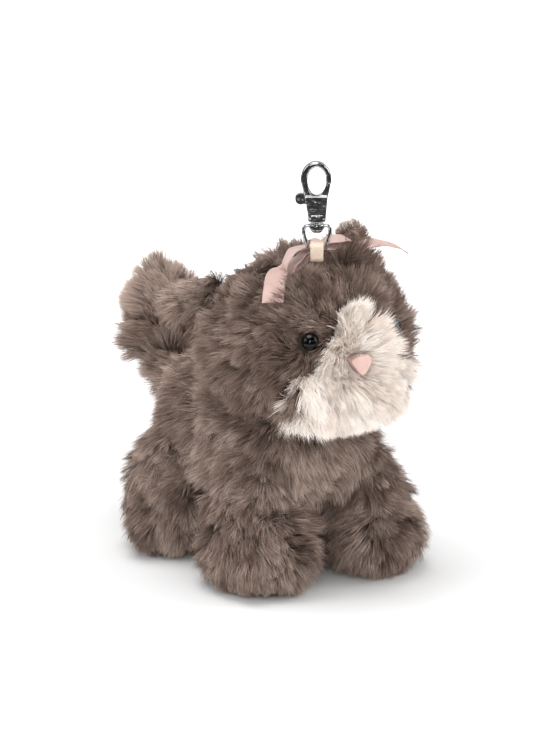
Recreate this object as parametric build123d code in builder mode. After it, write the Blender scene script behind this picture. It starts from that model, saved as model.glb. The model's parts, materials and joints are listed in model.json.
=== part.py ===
from build123d import *
import os
from math import cos, sin, radians

# Plush kitten keychain. Millimetres, +Z up. The kitten stands on the ground plane z = 0, its nose
# points along -Y, its own right side is -X, and the origin is the middle of the whole toy's plan.
# Soft solids are the fabric with its dense lower pile; the loose hair tips reach further out.

# ---- driving dimensions -------------------------------------------------------------------------
FABRIC = 4.0                       # backing cloth plus packed pile
GAP = 0.1                          # air between two pieces that only touch
FIT = 0.02                         # riveted or glued contact

HEAD_CENTRE = (0, -34, 89.5)
HEAD_HALF = (36.5, 35, 30)
MUZZLE_CENTRE = (0, -61, 75.5)
MUZZLE_HALF = (25, 10.5, 14.5)
BLAZE_TOP = 107                    # height of the rounded tip of the pale blaze
BLAZE_TIP_RADIUS = 5
BLAZE_BASE_RADIUS = 15
BLAZE_BASE_Z = 78.5                # height of the wide lower end of the blaze
BLAZE_BACK_Y = -46                 # the blaze ends this far back on the head
BLAZE_DEPTH = 35

TORSO_HEIGHT = 48                  # height of the torso's lengthwise axis
CHEST_Y = -25                      # where the rounded chest begins
CHEST_REACH = 23
RUMP_Y = 14                        # where the rounded rump begins
RUMP_REACH = 25
TORSO_FRONT_RADIUS = 28
TORSO_BACK_RADIUS = 29
TORSO_FLATTEN = 0.85               # height of a torso section over its width
BELLY_HALF = (12, 26)
BELLY_CENTRE_Y = -8

PAW_HALF_STANCE = 25               # sideways distance of each paw from the middle
SOLE_DEPTH = 12                    # height at which a paw is fullest
STUFFING_GAP = 0.4                 # slack round the stuffing of a leg

TAIL_ROOT = (0, 46.8, 57)
TAIL_TIP = (0, 61, 83)
# Round sections of the tail from root to tip: y, height, climb in degrees, radius.
TAIL_SECTIONS = (
    (46.8, 57, 20, 8.8),
    (55.8, 63.5, 48, 10.3),
    (60.2, 73, 78, 11.5),
    (61, 83, 90, 9.5),
)

EAR_HALF_WIDTH = 7.5
EAR_LENGTH = 8.5
EAR_BASE_RADIUS = 2.2              # half thickness along the base line
EAR_TIP_RADIUS = 1.3               # half thickness at the tip
EAR_CORNER = 2.7                   # rounding at the two ends of the base line
EAR_TOP_RADIUS = 3.5               # rounding of the tip seen from the front
EAR_LINING = 1.3                   # thickness of the smooth lining cloth
EAR_STANDOFF = 2.4                 # hinge line of an ear above the head cloth
LEFT_EAR = (20, -29)               # plan place of each ear on the crown
RIGHT_EAR = (-24.4, -11)
LEFT_EAR_FUR = (0, -1, 0)          # direction of each ear's furry face
RIGHT_EAR_FUR = (-0.51, -0.81, 0.29)
LEFT_EAR_DROOP = 0
RIGHT_EAR_DROOP = -4               # the floppy ear's tip hangs this far along its base line

EYE_RADIUS = 3.25
EYE_X = 17.5
EYE_Z = 96.4
EYE_POST_RADIUS = 1.4
EYE_POST_LENGTH = 7.5
WASHER_RADIUS = 4.2
WASHER_THICKNESS = 1.1
WASHER_DEPTH = 4.7                 # from the head cloth's outer face to the washer's outer face

NOSE_WIDTH = 8
NOSE_HEIGHT = 9.4
NOSE_CENTRE_Z = 86
NOSE_FRONT_Y = -72
NOSE_CORNER = 1.2
NOSE_DEPTH = 8
NOSE_EDGE = 0.5                    # rounding of the nose's front edge
MOUTH_THREAD = 0.9                 # width of the mouth stitch
MOUTH_DEPTH = 6
MOUTH_DROP = 5                     # the stitch forks this far below the nose
MOUTH_FRONT_Y = -72.2

STRAP_CENTRE = (-1.5, -43.5)       # where the tape leaves the crown
STRAP_ROOT_Z = 119.7
STRAP_TOP_Z = 126.4
STRAP_WIDTH = 4.7
STRAP_TAPE = 0.7
STRAP_TOP_RADIUS = 1.75
STRAP_ROOT_RADIUS = 1.0
STRAP_EYE_BOTTOM = 1.9             # the loop opens this far above its root
STRAP_EYE_RADIUS = 0.7
STITCH_LIFT = 0.3
STITCH_HEIGHT = 0.7
STITCH_INSET = 0.4                 # the bar of stitches stops this far from each edge
STITCH_DEPTH = 2.9

CLASP_YAW = -33                    # the clasp's flat face is turned this far about the vertical
RING_BOTTOM_Z = 122.5
RING_WIRE = 0.65                   # radius of the ring's wire

BOW_CENTRE = (3, -36.2, 122.9)
RIBBON_WIDTH = 8
RIBBON = 0.6
WAIST_HALF = (1.8, 2.2)            # the gathered waist inside the knot
WAIST_BOTTOM_Z = 120.9
WAIST_HEIGHT = 2.9
BOW_FLARE = 7                      # a loop reaches full width this far from the waist
BOW_REACH = 20
LOOP_RADIUS = 2.1
LOOP_PINCH = 0.9                   # radius of a loop where it enters the waist
LOOP_ENDS = ((-11.5, 0.3), (14, -0.1))

# Plan of the ribbon tail on the kitten's right: back along the crown, then down the brow.
RIGHT_RIBBON_TAIL = (
    (-4, -39.9),
    (-12.5, -39.9),
    (-21.5, -51.5),
    (-28, -46.5),
    (-17, -33.3),
    (-4, -33.3),
)
TAIL_HEADING = -22                 # plan direction of the ribbon tail on the kitten's left
TAIL_REACH = 33
TAIL_POINT = 9                     # length of its slanted end
TAIL_ARCH = ((0, 121.2), (9, 120.3), (20, 120.2), (TAIL_REACH, 118.3))

KNOT_CENTRE_Z = 122.35
KNOT_OUTER = (6, 4.3)
KNOT_INNER = (4.8, 3.1)
KNOT_OUTER_CORNER = 1.2
KNOT_INNER_CORNER = 0.5
KNOT_HALF_WIDTH = 1.7

PILE_LIFT = 1.6                    # a ribbon rests on the pile, this far above the head cloth


# ---- forms shared by neighbouring pieces --------------------------------------------------------
def ellipsoid(centre, half, grow=0.0):
    """Ellipsoid with every half axis changed by grow."""
    with BuildPart() as form:
        Sphere(1)
        scale(by=tuple(axis + grow for axis in half))
    return form.part.moved(Location(centre))


def head_form(grow=0.0):
    return ellipsoid(HEAD_CENTRE, HEAD_HALF, grow)


def muzzle_form(grow=0.0):
    return ellipsoid(MUZZLE_CENTRE, MUZZLE_HALF, grow)


def torso_form(grow=0.0):
    """Fat capsule lying along Y, with rounded chest and rump, a little flatter than it is wide."""
    front = TORSO_FRONT_RADIUS + grow
    back = TORSO_BACK_RADIUS + grow
    chest = CHEST_REACH + grow
    rump = RUMP_REACH + grow
    with BuildPart() as form:
        with BuildSketch(Plane.XY):
            with BuildLine():
                EllipticalCenterArc((0, CHEST_Y), front, chest, start_angle=-90, arc_size=90)
                Line((front, CHEST_Y), (back, RUMP_Y))
                EllipticalCenterArc((0, RUMP_Y), back, rump, start_angle=0, arc_size=90)
                Line((0, RUMP_Y + rump), (0, CHEST_Y - chest))
            make_face()
        revolve(axis=Axis.Y)
        scale(by=(1, 1, TORSO_FLATTEN))
    return form.part.moved(Location((0, 0, TORSO_HEIGHT)))


# Level ellipses of a leg from just below its sole to the shoulder or hip: height, sideways distance,
# y, half width, half length.
FRONT_LEG = (
    (-1.5, PAW_HALF_STANCE, -39, 7, 9),
    (4.5, PAW_HALF_STANCE, -39.5, 14, 17.5),
    (SOLE_DEPTH, PAW_HALF_STANCE, -39.5, 17, 21),
    (23, 24, -37, 15, 17),
    (36, 21.5, -32, 14, 15.5),
    (48, 16, -28, 12, 13),
    (57, 11, -25, 8.5, 9.5),
)
REAR_LEG = (
    (-1.5, PAW_HALF_STANCE, 16, 7, 8),
    (4.5, PAW_HALF_STANCE, 16, 13, 15),
    (SOLE_DEPTH, PAW_HALF_STANCE, 16, 15.5, 17.5),
    (23, 24, 16.5, 15, 17),
    (36, 21.5, 15.5, 14.5, 16.5),
    (48, 16, 13, 12, 14),
    (57, 11, 11, 8.5, 10),
)


def leg_form(sections, grow=0.0):
    """Right leg lofted through its ellipses and cut flat; a negative grow also lifts the sole."""
    with BuildPart() as form:
        for height, x, y, half_width, half_length in sections:
            lift = max(0, 1 - height / SOLE_DEPTH) * -grow
            with BuildSketch(Plane((-x, y, height + lift))):
                Ellipse(half_width + grow, half_length + grow)
        loft()
        split(bisect_by=Plane.XY.offset(-grow), keep=Keep.TOP)
    return form.part


def tail_form(grow=0.0):
    """Round brush curving up from the rump, with a ball at the root and one at the tip."""
    with BuildPart() as form:
        for y, z, climb, radius in TAIL_SECTIONS:
            along = (0, cos(radians(climb)), sin(radians(climb)))
            with BuildSketch(Plane((0, y, z), x_dir=(1, 0, 0), z_dir=along)):
                Circle(radius + grow)
        loft()
        with Locations(TAIL_ROOT):
            Sphere(TAIL_SECTIONS[0][-1] + grow)
        with Locations(TAIL_TIP):
            Sphere(TAIL_SECTIONS[-1][-1] + grow)
    return form.part


def blaze_prism(grow=0.0):
    """Upright teardrop seen from the front, run through the face from nose side to mid-head."""
    with BuildPart() as form:
        with BuildSketch(Plane.XZ.offset(-BLAZE_BACK_Y)):
            with Locations((0, BLAZE_TOP - BLAZE_TIP_RADIUS)):
                Circle(BLAZE_TIP_RADIUS + grow)
            with Locations((0, BLAZE_BASE_Z)):
                Circle(BLAZE_BASE_RADIUS + grow)
            make_hull()
        extrude(amount=BLAZE_DEPTH)
    return form.part


def head_surface_z(x, y):
    """Height of the top of the head cloth above a point."""
    across = ((x - HEAD_CENTRE[0]) / HEAD_HALF[0]) ** 2
    along = ((y - HEAD_CENTRE[1]) / HEAD_HALF[1]) ** 2
    return HEAD_CENTRE[2] + HEAD_HALF[2] * (1 - across - along) ** 0.5


def head_normal(point):
    """Outward direction of the head cloth at a point on it."""
    slope = [(p - c) / h**2 for p, c, h in zip(point, HEAD_CENTRE, HEAD_HALF)]
    return Vector(*slope).normalized()


def eye_plane(side):
    """Plane on the head cloth at the eye, facing outwards."""
    across = (EYE_X / HEAD_HALF[0]) ** 2
    up = ((EYE_Z - HEAD_CENTRE[2]) / HEAD_HALF[2]) ** 2
    y = HEAD_CENTRE[1] - HEAD_HALF[1] * (1 - across - up) ** 0.5
    point = (side * EYE_X, y, EYE_Z)
    return Plane(point, z_dir=head_normal(point))


def eye_form(side, grow=0.0):
    """Bead with its ribbed post pointing into the head."""
    with BuildPart(eye_plane(side)) as form:
        Sphere(EYE_RADIUS + grow)
        Cylinder(
            EYE_POST_RADIUS + grow,
            EYE_POST_LENGTH + grow,
            align=(Align.CENTER, Align.CENTER, Align.MAX),
        )
    return form.part


def washer_form(side, grow=0.0):
    with BuildPart(eye_plane(side).offset(-WASHER_DEPTH + grow)) as form:
        Cylinder(
            WASHER_RADIUS + grow,
            WASHER_THICKNESS + 2 * grow,
            align=(Align.CENTER, Align.CENTER, Align.MAX),
        )
    return form.part


head_outer = head_form()
head_inner = head_form(-FABRIC)
head_clear = head_form(GAP)
head_fill = head_form(-FABRIC - GAP)
muzzle_outer = muzzle_form()
muzzle_inner = muzzle_form(-FABRIC)
muzzle_clear = muzzle_form(GAP)
muzzle_fill = muzzle_form(-FABRIC - GAP)
torso_outer = torso_form()
torso_inner = torso_form(-FABRIC)
torso_clear = torso_form(GAP)
torso_fill = torso_form(-FABRIC - GAP)
blaze = blaze_prism()
blaze_clear = blaze_prism(GAP)
SIDES = ((-1, "right"), (1, "left"))

os.makedirs("parts", exist_ok=True)


# ---- torso: two side panels and a belly panel round one stuffing --------------------------------
def belly_prism(grow=0.0):
    with BuildPart() as form:
        with BuildSketch(Plane.XY):
            with Locations((0, BELLY_CENTRE_Y)):
                Ellipse(BELLY_HALF[0] + grow, BELLY_HALF[1] + grow)
        extrude(amount=TORSO_HEIGHT)
    return form.part


belly = belly_prism()
belly_clear = belly_prism(GAP)

with BuildPart() as torso_panel_right:
    add(torso_outer)
    add(torso_inner, mode=Mode.SUBTRACT)
    add(head_clear, mode=Mode.SUBTRACT)
    add(belly_clear, mode=Mode.SUBTRACT)
    split(bisect_by=Plane.YZ.offset(-GAP / 2), keep=Keep.BOTTOM)
torso_panel_right.part.label = "torso_panel_right"
export_step(torso_panel_right.part, "parts/torso_panel_right.step")

with BuildPart() as torso_panel_left:
    mirror(torso_panel_right.part, about=Plane.YZ)
torso_panel_left.part.label = "torso_panel_left"
export_step(torso_panel_left.part, "parts/torso_panel_left.step")

with BuildPart() as belly_panel:
    add(torso_outer)
    add(torso_inner, mode=Mode.SUBTRACT)
    add(belly, mode=Mode.INTERSECT)
belly_panel.part.label = "belly_panel"
export_step(belly_panel.part, "parts/belly_panel.step")

with BuildPart() as torso_stuffing:
    add(torso_fill)
    add(head_clear, mode=Mode.SUBTRACT)
torso_stuffing.part.label = "torso_stuffing"
export_step(torso_stuffing.part, "parts/torso_stuffing.step")

# ---- four legs, each a fur tube with a flat sole and its own stuffing -----------------------------
for end, sections in (("front", FRONT_LEG), ("rear", REAR_LEG)):
    leg_outer = leg_form(sections)
    leg_inner = leg_form(sections, -FABRIC)
    leg_fill = leg_form(sections, -FABRIC - STUFFING_GAP)
    with BuildPart() as right_leg:
        add(leg_outer)
        add(leg_inner, mode=Mode.SUBTRACT)
        add(torso_clear, mode=Mode.SUBTRACT)
        add(head_clear, mode=Mode.SUBTRACT)
    with BuildPart() as right_filling:
        add(leg_fill)
        add(torso_clear, mode=Mode.SUBTRACT)
        add(head_clear, mode=Mode.SUBTRACT)
    with BuildPart() as left_leg:
        mirror(right_leg.part, about=Plane.YZ)
    with BuildPart() as left_filling:
        mirror(right_filling.part, about=Plane.YZ)
    for piece, label in (
        (right_leg, f"{end}_right_leg"),
        (left_leg, f"{end}_left_leg"),
        (right_filling, f"{end}_right_leg_stuffing"),
        (left_filling, f"{end}_left_leg_stuffing"),
    ):
        piece.part.label = label
        export_step(piece.part, f"parts/{label}.step")

# ---- tail ---------------------------------------------------------------------------------------
tail_outer = tail_form()
tail_inner = tail_form(-FABRIC)
tail_fill = tail_form(-FABRIC - GAP)

with BuildPart() as tail_shell:
    add(tail_outer)
    add(tail_inner, mode=Mode.SUBTRACT)
tail_shell.part.label = "tail_shell"
export_step(tail_shell.part, "parts/tail_shell.step")

with BuildPart() as tail_stuffing:
    add(tail_fill)
tail_stuffing.part.label = "tail_stuffing"
export_step(tail_stuffing.part, "parts/tail_stuffing.step")

# ---- head: two panels, the pale muzzle panel with its blaze, stuffing ------------------------------
eyes = {side: eye_form(side) for side, hand in SIDES}
eyes_clear = {side: eye_form(side, GAP) for side, hand in SIDES}
washers_clear = {side: washer_form(side, GAP) for side, hand in SIDES}

with BuildPart() as head_panel_right:
    add(head_outer)
    add(head_inner, mode=Mode.SUBTRACT)
    add(muzzle_clear, mode=Mode.SUBTRACT)
    add(blaze_clear, mode=Mode.SUBTRACT)
    split(bisect_by=Plane.YZ.offset(-GAP / 2), keep=Keep.BOTTOM)
    add(eyes_clear[-1], mode=Mode.SUBTRACT)
head_panel_right.part.label = "head_panel_right"
export_step(head_panel_right.part, "parts/head_panel_right.step")

with BuildPart() as head_panel_left:
    mirror(head_panel_right.part, about=Plane.YZ)
head_panel_left.part.label = "head_panel_left"
export_step(head_panel_left.part, "parts/head_panel_left.step")

with BuildPart() as muzzle_panel:
    add(head_outer)
    add(blaze, mode=Mode.INTERSECT)
    add(muzzle_outer)
    add(head_inner, mode=Mode.SUBTRACT)
    add(muzzle_inner, mode=Mode.SUBTRACT)
muzzle_panel.part.label = "muzzle_panel"
export_step(muzzle_panel.part, "parts/muzzle_panel.step")

with BuildPart() as head_stuffing:
    add(head_fill)
    add(muzzle_fill)
    for side, hand in SIDES:
        add(eyes_clear[side], mode=Mode.SUBTRACT)
        add(washers_clear[side], mode=Mode.SUBTRACT)
head_stuffing.part.label = "head_stuffing"
export_step(head_stuffing.part, "parts/head_stuffing.step")

# ---- safety eyes: a bead with a post, and a washer pushed over the post inside the head ------------
for side, hand in SIDES:
    with BuildPart() as eye_bead:
        add(eyes[side])
    eye_bead.part.label = f"eye_bead_{hand}"
    export_step(eye_bead.part, f"parts/eye_bead_{hand}.step")

    with BuildPart() as eye_washer:
        add(washer_form(side))
        with Locations(eye_plane(side)):
            Cylinder(EYE_POST_RADIUS + FIT, 3 * EYE_POST_LENGTH, mode=Mode.SUBTRACT)
    eye_washer.part.label = f"eye_washer_{hand}"
    export_step(eye_washer.part, f"parts/eye_washer_{hand}.step")

# ---- nose and mouth embroidery --------------------------------------------------------------------
nose_top = NOSE_CENTRE_Z + NOSE_HEIGHT / 2
nose_bottom = NOSE_CENTRE_Z - NOSE_HEIGHT / 2

with BuildPart() as nose_embroidery:
    with BuildSketch(Plane.XZ.offset(-NOSE_FRONT_Y)):
        with Locations(
            (-NOSE_WIDTH / 2 + NOSE_CORNER, nose_top - NOSE_CORNER),
            (NOSE_WIDTH / 2 - NOSE_CORNER, nose_top - NOSE_CORNER),
            (0, nose_bottom + NOSE_CORNER),
        ):
            Circle(NOSE_CORNER)
        make_hull()
    extrude(amount=-NOSE_DEPTH)
    fillet(nose_embroidery.edges().group_by(Axis.Y)[0], NOSE_EDGE)
    add(head_clear, mode=Mode.SUBTRACT)
    add(muzzle_clear, mode=Mode.SUBTRACT)
nose_embroidery.part.label = "nose_embroidery"
export_step(nose_embroidery.part, "parts/nose_embroidery.step")

fork_z = nose_bottom - MOUTH_DROP

with BuildPart() as mouth_stitch:
    with BuildSketch(Plane.XZ.offset(-MOUTH_FRONT_Y)):
        with BuildLine():
            Line((0, nose_bottom - 2 * GAP), (0, fork_z))
            for side, hand in SIDES:
                ThreePointArc((0, fork_z), (side * 2.4, fork_z - 2), (side * 4.6, fork_z - 2.2))
        trace(line_width=MOUTH_THREAD)
    extrude(amount=-MOUTH_DEPTH)
    add(head_clear, mode=Mode.SUBTRACT)
    add(muzzle_clear, mode=Mode.SUBTRACT)
mouth_stitch.part.label = "mouth_stitch"
export_step(mouth_stitch.part, "parts/mouth_stitch.step")


# ---- ears -----------------------------------------------------------------------------------------
def ear_plane(surface_point, fur_direction):
    """Plane on the ear's hinge line: y stands off the head, z points out of the furry face."""
    outward = head_normal(surface_point)
    origin = Vector(*surface_point) + outward * EAR_STANDOFF
    width = Vector(*fur_direction).cross(outward) * -1
    face = width.cross(outward)
    return Plane(origin, x_dir=width, z_dir=face)


def ear_form(plane, droop):
    """Rounded flap, thick and round at its base line; droop moves its tip along the base."""
    side_view = Plane(plane.origin, x_dir=plane.y_dir, z_dir=plane.x_dir)
    corner_x = EAR_HALF_WIDTH - EAR_CORNER
    with BuildPart() as form:
        with BuildSketch(plane.offset(-EAR_CORNER)):
            with Locations((-corner_x, 0), (corner_x, 0)):
                Circle(EAR_CORNER)
            with Locations((droop, EAR_LENGTH - EAR_TOP_RADIUS)):
                Circle(EAR_TOP_RADIUS)
            make_hull()
        extrude(amount=2 * EAR_CORNER)
        with BuildSketch(side_view.offset(-2 * EAR_HALF_WIDTH)):
            Circle(EAR_BASE_RADIUS)
            with Locations((EAR_LENGTH - EAR_TIP_RADIUS / 2, 0)):
                Circle(EAR_TIP_RADIUS)
            make_hull()
        extrude(amount=4 * EAR_HALF_WIDTH, mode=Mode.INTERSECT)
    return form.part


left_ear_surface = (*LEFT_EAR, head_surface_z(*LEFT_EAR))
right_ear_surface = (*RIGHT_EAR, head_surface_z(*RIGHT_EAR))
EARS = {
    "left": (ear_plane(left_ear_surface, LEFT_EAR_FUR), LEFT_EAR_DROOP),
    "right": (ear_plane(right_ear_surface, RIGHT_EAR_FUR), RIGHT_EAR_DROOP),
}

for hand, (plane, droop) in EARS.items():
    ear = ear_form(plane, droop)
    lining_face = plane.offset(EAR_LINING - EAR_BASE_RADIUS)
    with BuildPart() as ear_back:
        add(ear)
        split(bisect_by=lining_face.offset(FIT), keep=Keep.TOP)
    ear_back.part.label = f"ear_fur_{hand}"
    export_step(ear_back.part, f"parts/ear_fur_{hand}.step")

    with BuildPart() as ear_lining:
        add(ear)
        split(bisect_by=lining_face, keep=Keep.BOTTOM)
    ear_lining.part.label = f"ear_lining_{hand}"
    export_step(ear_lining.part, f"parts/ear_lining_{hand}.step")


# ---- satin bow on the crown -----------------------------------------------------------------------
bow_x, bow_y, bow_z = BOW_CENTRE
tail_under = head_form(PILE_LIFT)
tail_over = head_form(PILE_LIFT + RIBBON)


def bow_outline():
    """Plan of both loops: gathered at the waist and full width at the ends."""
    with BuildPart() as form:
        with BuildSketch(Plane((bow_x, bow_y, bow_z - BOW_REACH))):
            for side, hand in SIDES:
                with BuildLine():
                    Polyline(
                        (0, WAIST_HALF[1]),
                        (side * WAIST_HALF[0], WAIST_HALF[1]),
                        (side * BOW_FLARE, RIBBON_WIDTH / 2),
                        (side * BOW_REACH, RIBBON_WIDTH / 2),
                        (side * BOW_REACH, -RIBBON_WIDTH / 2),
                        (side * BOW_FLARE, -RIBBON_WIDTH / 2),
                        (side * WAIST_HALF[0], -WAIST_HALF[1]),
                        (0, -WAIST_HALF[1]),
                        close=True,
                    )
                make_face()
        extrude(amount=2 * BOW_REACH)
    return form.part


def bow_loop(end_x, end_z, inset):
    """Teardrop loop of ribbon, open along Y; inset is the ribbon's thickness for the inside."""
    with BuildPart() as form:
        with BuildSketch(Plane((bow_x, bow_y, bow_z), x_dir=(1, 0, 0), z_dir=(0, -1, 0))):
            with Locations((0, 0)):
                Circle(LOOP_PINCH - inset)
            with Locations((end_x, end_z)):
                Circle(LOOP_RADIUS - inset)
            make_hull()
        extrude(amount=RIBBON_WIDTH / 2, both=True)
    return form.part


def right_tail_outline():
    """Plan of the ribbon tail on the kitten's right, run down through the crown."""
    with BuildPart() as form:
        with BuildSketch(Plane.XY.offset(HEAD_CENTRE[2])):
            with BuildLine():
                Polyline((bow_x, bow_y + 2), (bow_x, bow_y - 2), *RIGHT_RIBBON_TAIL, close=True)
            make_face()
        extrude(amount=2 * HEAD_HALF[2])
    return form.part


heading = radians(TAIL_HEADING)
tail_side = Plane(
    (bow_x, bow_y, 0), x_dir=(cos(heading), sin(heading), 0), z_dir=(sin(heading), -cos(heading), 0)
)
tail_plan = Plane((bow_x, bow_y, HEAD_CENTRE[2]), x_dir=tail_side.x_dir, z_dir=(0, 0, 1))


def left_tail_form():
    """Springy ribbon tail that leaves the waist, arches past the ear and ends in a point."""
    with BuildPart() as form:
        with BuildSketch(tail_side):
            with BuildLine():
                Spline(*TAIL_ARCH)
            trace(line_width=RIBBON)
        extrude(amount=RIBBON_WIDTH / 2, both=True)
        with BuildSketch(tail_plan):
            with BuildLine():
                Polyline(
                    (0, WAIST_HALF[1]),
                    (BOW_FLARE, RIBBON_WIDTH / 2),
                    (TAIL_REACH - TAIL_POINT, RIBBON_WIDTH / 2),
                    (TAIL_REACH, -RIBBON_WIDTH / 2),
                    (BOW_FLARE, -RIBBON_WIDTH / 2),
                    (0, -WAIST_HALF[1]),
                    close=True,
                )
            make_face()
        extrude(amount=2 * HEAD_HALF[2], mode=Mode.INTERSECT)
    return form.part


loops_outer = [bow_loop(x, z, 0) for x, z in LOOP_ENDS]
loops_inner = [bow_loop(x, z, RIBBON) for x, z in LOOP_ENDS]
bow_plan = bow_outline()
right_tail = right_tail_outline()
left_tail = left_tail_form()

with BuildPart() as waist:
    with BuildSketch(Plane((bow_x, bow_y, WAIST_BOTTOM_Z))):
        Rectangle(2 * WAIST_HALF[0], 2 * WAIST_HALF[1])
    extrude(amount=WAIST_HEIGHT)

with BuildPart() as draped_tail:
    add(tail_over)
    add(tail_under, mode=Mode.SUBTRACT)
    add(right_tail, mode=Mode.INTERSECT)

with BuildPart() as bow_ribbon:
    for outer in loops_outer:
        add(outer)
    for inner in loops_inner:
        add(inner, mode=Mode.SUBTRACT)
    add(bow_plan, mode=Mode.INTERSECT)
    add(waist.part)
    add(draped_tail.part)
    add(left_tail)
bow_ribbon.part.label = "bow_ribbon"
export_step(bow_ribbon.part, "parts/bow_ribbon.step")

with BuildPart() as bow_knot:
    with BuildSketch(Plane((bow_x, bow_y, KNOT_CENTRE_Z), x_dir=(0, 1, 0), z_dir=(1, 0, 0))):
        RectangleRounded(*KNOT_OUTER, KNOT_OUTER_CORNER)
        RectangleRounded(*KNOT_INNER, KNOT_INNER_CORNER, mode=Mode.SUBTRACT)
    extrude(amount=KNOT_HALF_WIDTH, both=True)
    add(bow_ribbon.part, mode=Mode.SUBTRACT)
bow_knot.part.label = "bow_knot"
export_step(bow_knot.part, "parts/bow_knot.step")

# ---- tape loop sewn into the crown ----------------------------------------------------------------
yaw = radians(CLASP_YAW)
ACROSS = Vector(cos(yaw), sin(yaw), 0)      # along the tape's width and the ring's lower bar
FACING = Vector(sin(yaw), -cos(yaw), 0)     # out of the clasp's flat face
strap_side = Plane((*STRAP_CENTRE, 0), x_dir=-FACING, z_dir=ACROSS)


def strap_outline(grow=0.0):
    """Side view of the folded tape, run across its width."""
    with BuildPart() as form:
        with BuildSketch(strap_side):
            with Locations((0, STRAP_ROOT_Z)):
                Circle(STRAP_ROOT_RADIUS + grow)
            with Locations((0, STRAP_TOP_Z - STRAP_TOP_RADIUS)):
                Circle(STRAP_TOP_RADIUS + grow)
            make_hull()
        extrude(amount=STRAP_WIDTH / 2 + grow, both=True)
    return form.part


strap_solid = strap_outline()
strap_clear = strap_outline(FIT)

with BuildPart() as strap_loop:
    add(strap_solid)
    with BuildSketch(strap_side):
        with Locations((0, STRAP_ROOT_Z + STRAP_EYE_BOTTOM)):
            Circle(STRAP_EYE_RADIUS)
        with Locations((0, STRAP_TOP_Z - STRAP_TOP_RADIUS)):
            Circle(STRAP_TOP_RADIUS - STRAP_TAPE)
        make_hull()
    extrude(amount=STRAP_WIDTH, both=True, mode=Mode.SUBTRACT)
strap_loop.part.label = "strap_loop"
export_step(strap_loop.part, "parts/strap_loop.step")

with BuildPart() as strap_stitching:
    with BuildSketch(Plane((*STRAP_CENTRE, STRAP_ROOT_Z + STITCH_LIFT), x_dir=ACROSS, z_dir=(0, 0, 1))):
        Rectangle(STRAP_WIDTH - 2 * STITCH_INSET, STITCH_DEPTH)
    extrude(amount=STITCH_HEIGHT)
    add(strap_clear, mode=Mode.SUBTRACT)
strap_stitching.part.label = "strap_stitching"
export_step(strap_stitching.part, "parts/strap_stitching.step")

# ---- swivel ring: a D of wire with a flat hub ---------------------------------------------------------
clasp_origin = Vector(*STRAP_CENTRE, RING_BOTTOM_Z)
clasp_face = Plane(clasp_origin, x_dir=ACROSS, z_dir=FACING)
clasp_axis = Axis(clasp_origin, (0, 0, 1))

RING_HALF_WIDTH = 4.65
RING_SHOULDER = 9.6
RING_WAIST = 6.5
RING_FOOT = 3.0
HUB_RADIUS = 2.7
HUB_BOTTOM = 8.6
HUB_TOP = 10.4
HUB_OVERLAP = 0.5                  # the wire ends run this far into the hub
HUB_ROUND = 0.5
RING_BEND = 1.3
STEM_RADIUS = 1.2
STEM_CLEARANCE = 0.06

with BuildPart() as swivel_ring:
    with BuildLine(clasp_face) as ring_path:
        FilletPolyline(
            (HUB_OVERLAP - HUB_RADIUS, RING_SHOULDER),
            (-RING_HALF_WIDTH, RING_SHOULDER),
            (-RING_HALF_WIDTH, RING_WAIST),
            (-RING_FOOT, RING_WIRE),
            (RING_FOOT, RING_WIRE),
            (RING_HALF_WIDTH, RING_WAIST),
            (RING_HALF_WIDTH, RING_SHOULDER),
            (HUB_RADIUS - HUB_OVERLAP, RING_SHOULDER),
            radius=RING_BEND,
        )
    with BuildSketch(Plane(ring_path.line @ 0, z_dir=ring_path.line % 0)):
        Circle(RING_WIRE)
    sweep()
    with BuildSketch(Plane(clasp_origin).offset(HUB_BOTTOM)):
        Circle(HUB_RADIUS)
    extrude(amount=HUB_TOP - HUB_BOTTOM)
    fillet(swivel_ring.faces().sort_by(Axis.Z)[-1].edges(), HUB_ROUND)
    with BuildSketch(Plane(clasp_origin).offset(HUB_BOTTOM)):
        Circle(STEM_RADIUS + STEM_CLEARANCE)
    extrude(amount=HUB_TOP - HUB_BOTTOM, mode=Mode.SUBTRACT)
swivel_ring.part.label = "swivel_ring"
export_step(swivel_ring.part, "parts/swivel_ring.step")

# ---- swivel post: a rivet through the hub, fixed in the clasp ------------------------------------------
HEAD_RADIUS = 2.3
HEAD_TOP = HUB_BOTTOM - 0.08
HEAD_RISE = 1.7
COLLAR_BOTTOM = 11.3
STEM_TOP = 13.4

with BuildPart() as swivel_post:
    with BuildSketch(clasp_face):
        with BuildLine():
            Line((0, HEAD_TOP - HEAD_RISE), (0, STEM_TOP))
            Line((0, STEM_TOP), (STEM_RADIUS, STEM_TOP))
            Line((STEM_RADIUS, STEM_TOP), (STEM_RADIUS, HEAD_TOP))
            Line((STEM_RADIUS, HEAD_TOP), (HEAD_RADIUS, HEAD_TOP))
            EllipticalCenterArc((0, HEAD_TOP), HEAD_RADIUS, HEAD_RISE, start_angle=-90, arc_size=90)
        make_face()
    revolve(axis=clasp_axis)
swivel_post.part.label = "swivel_post"
export_step(swivel_post.part, "parts/swivel_post.step")

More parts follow.
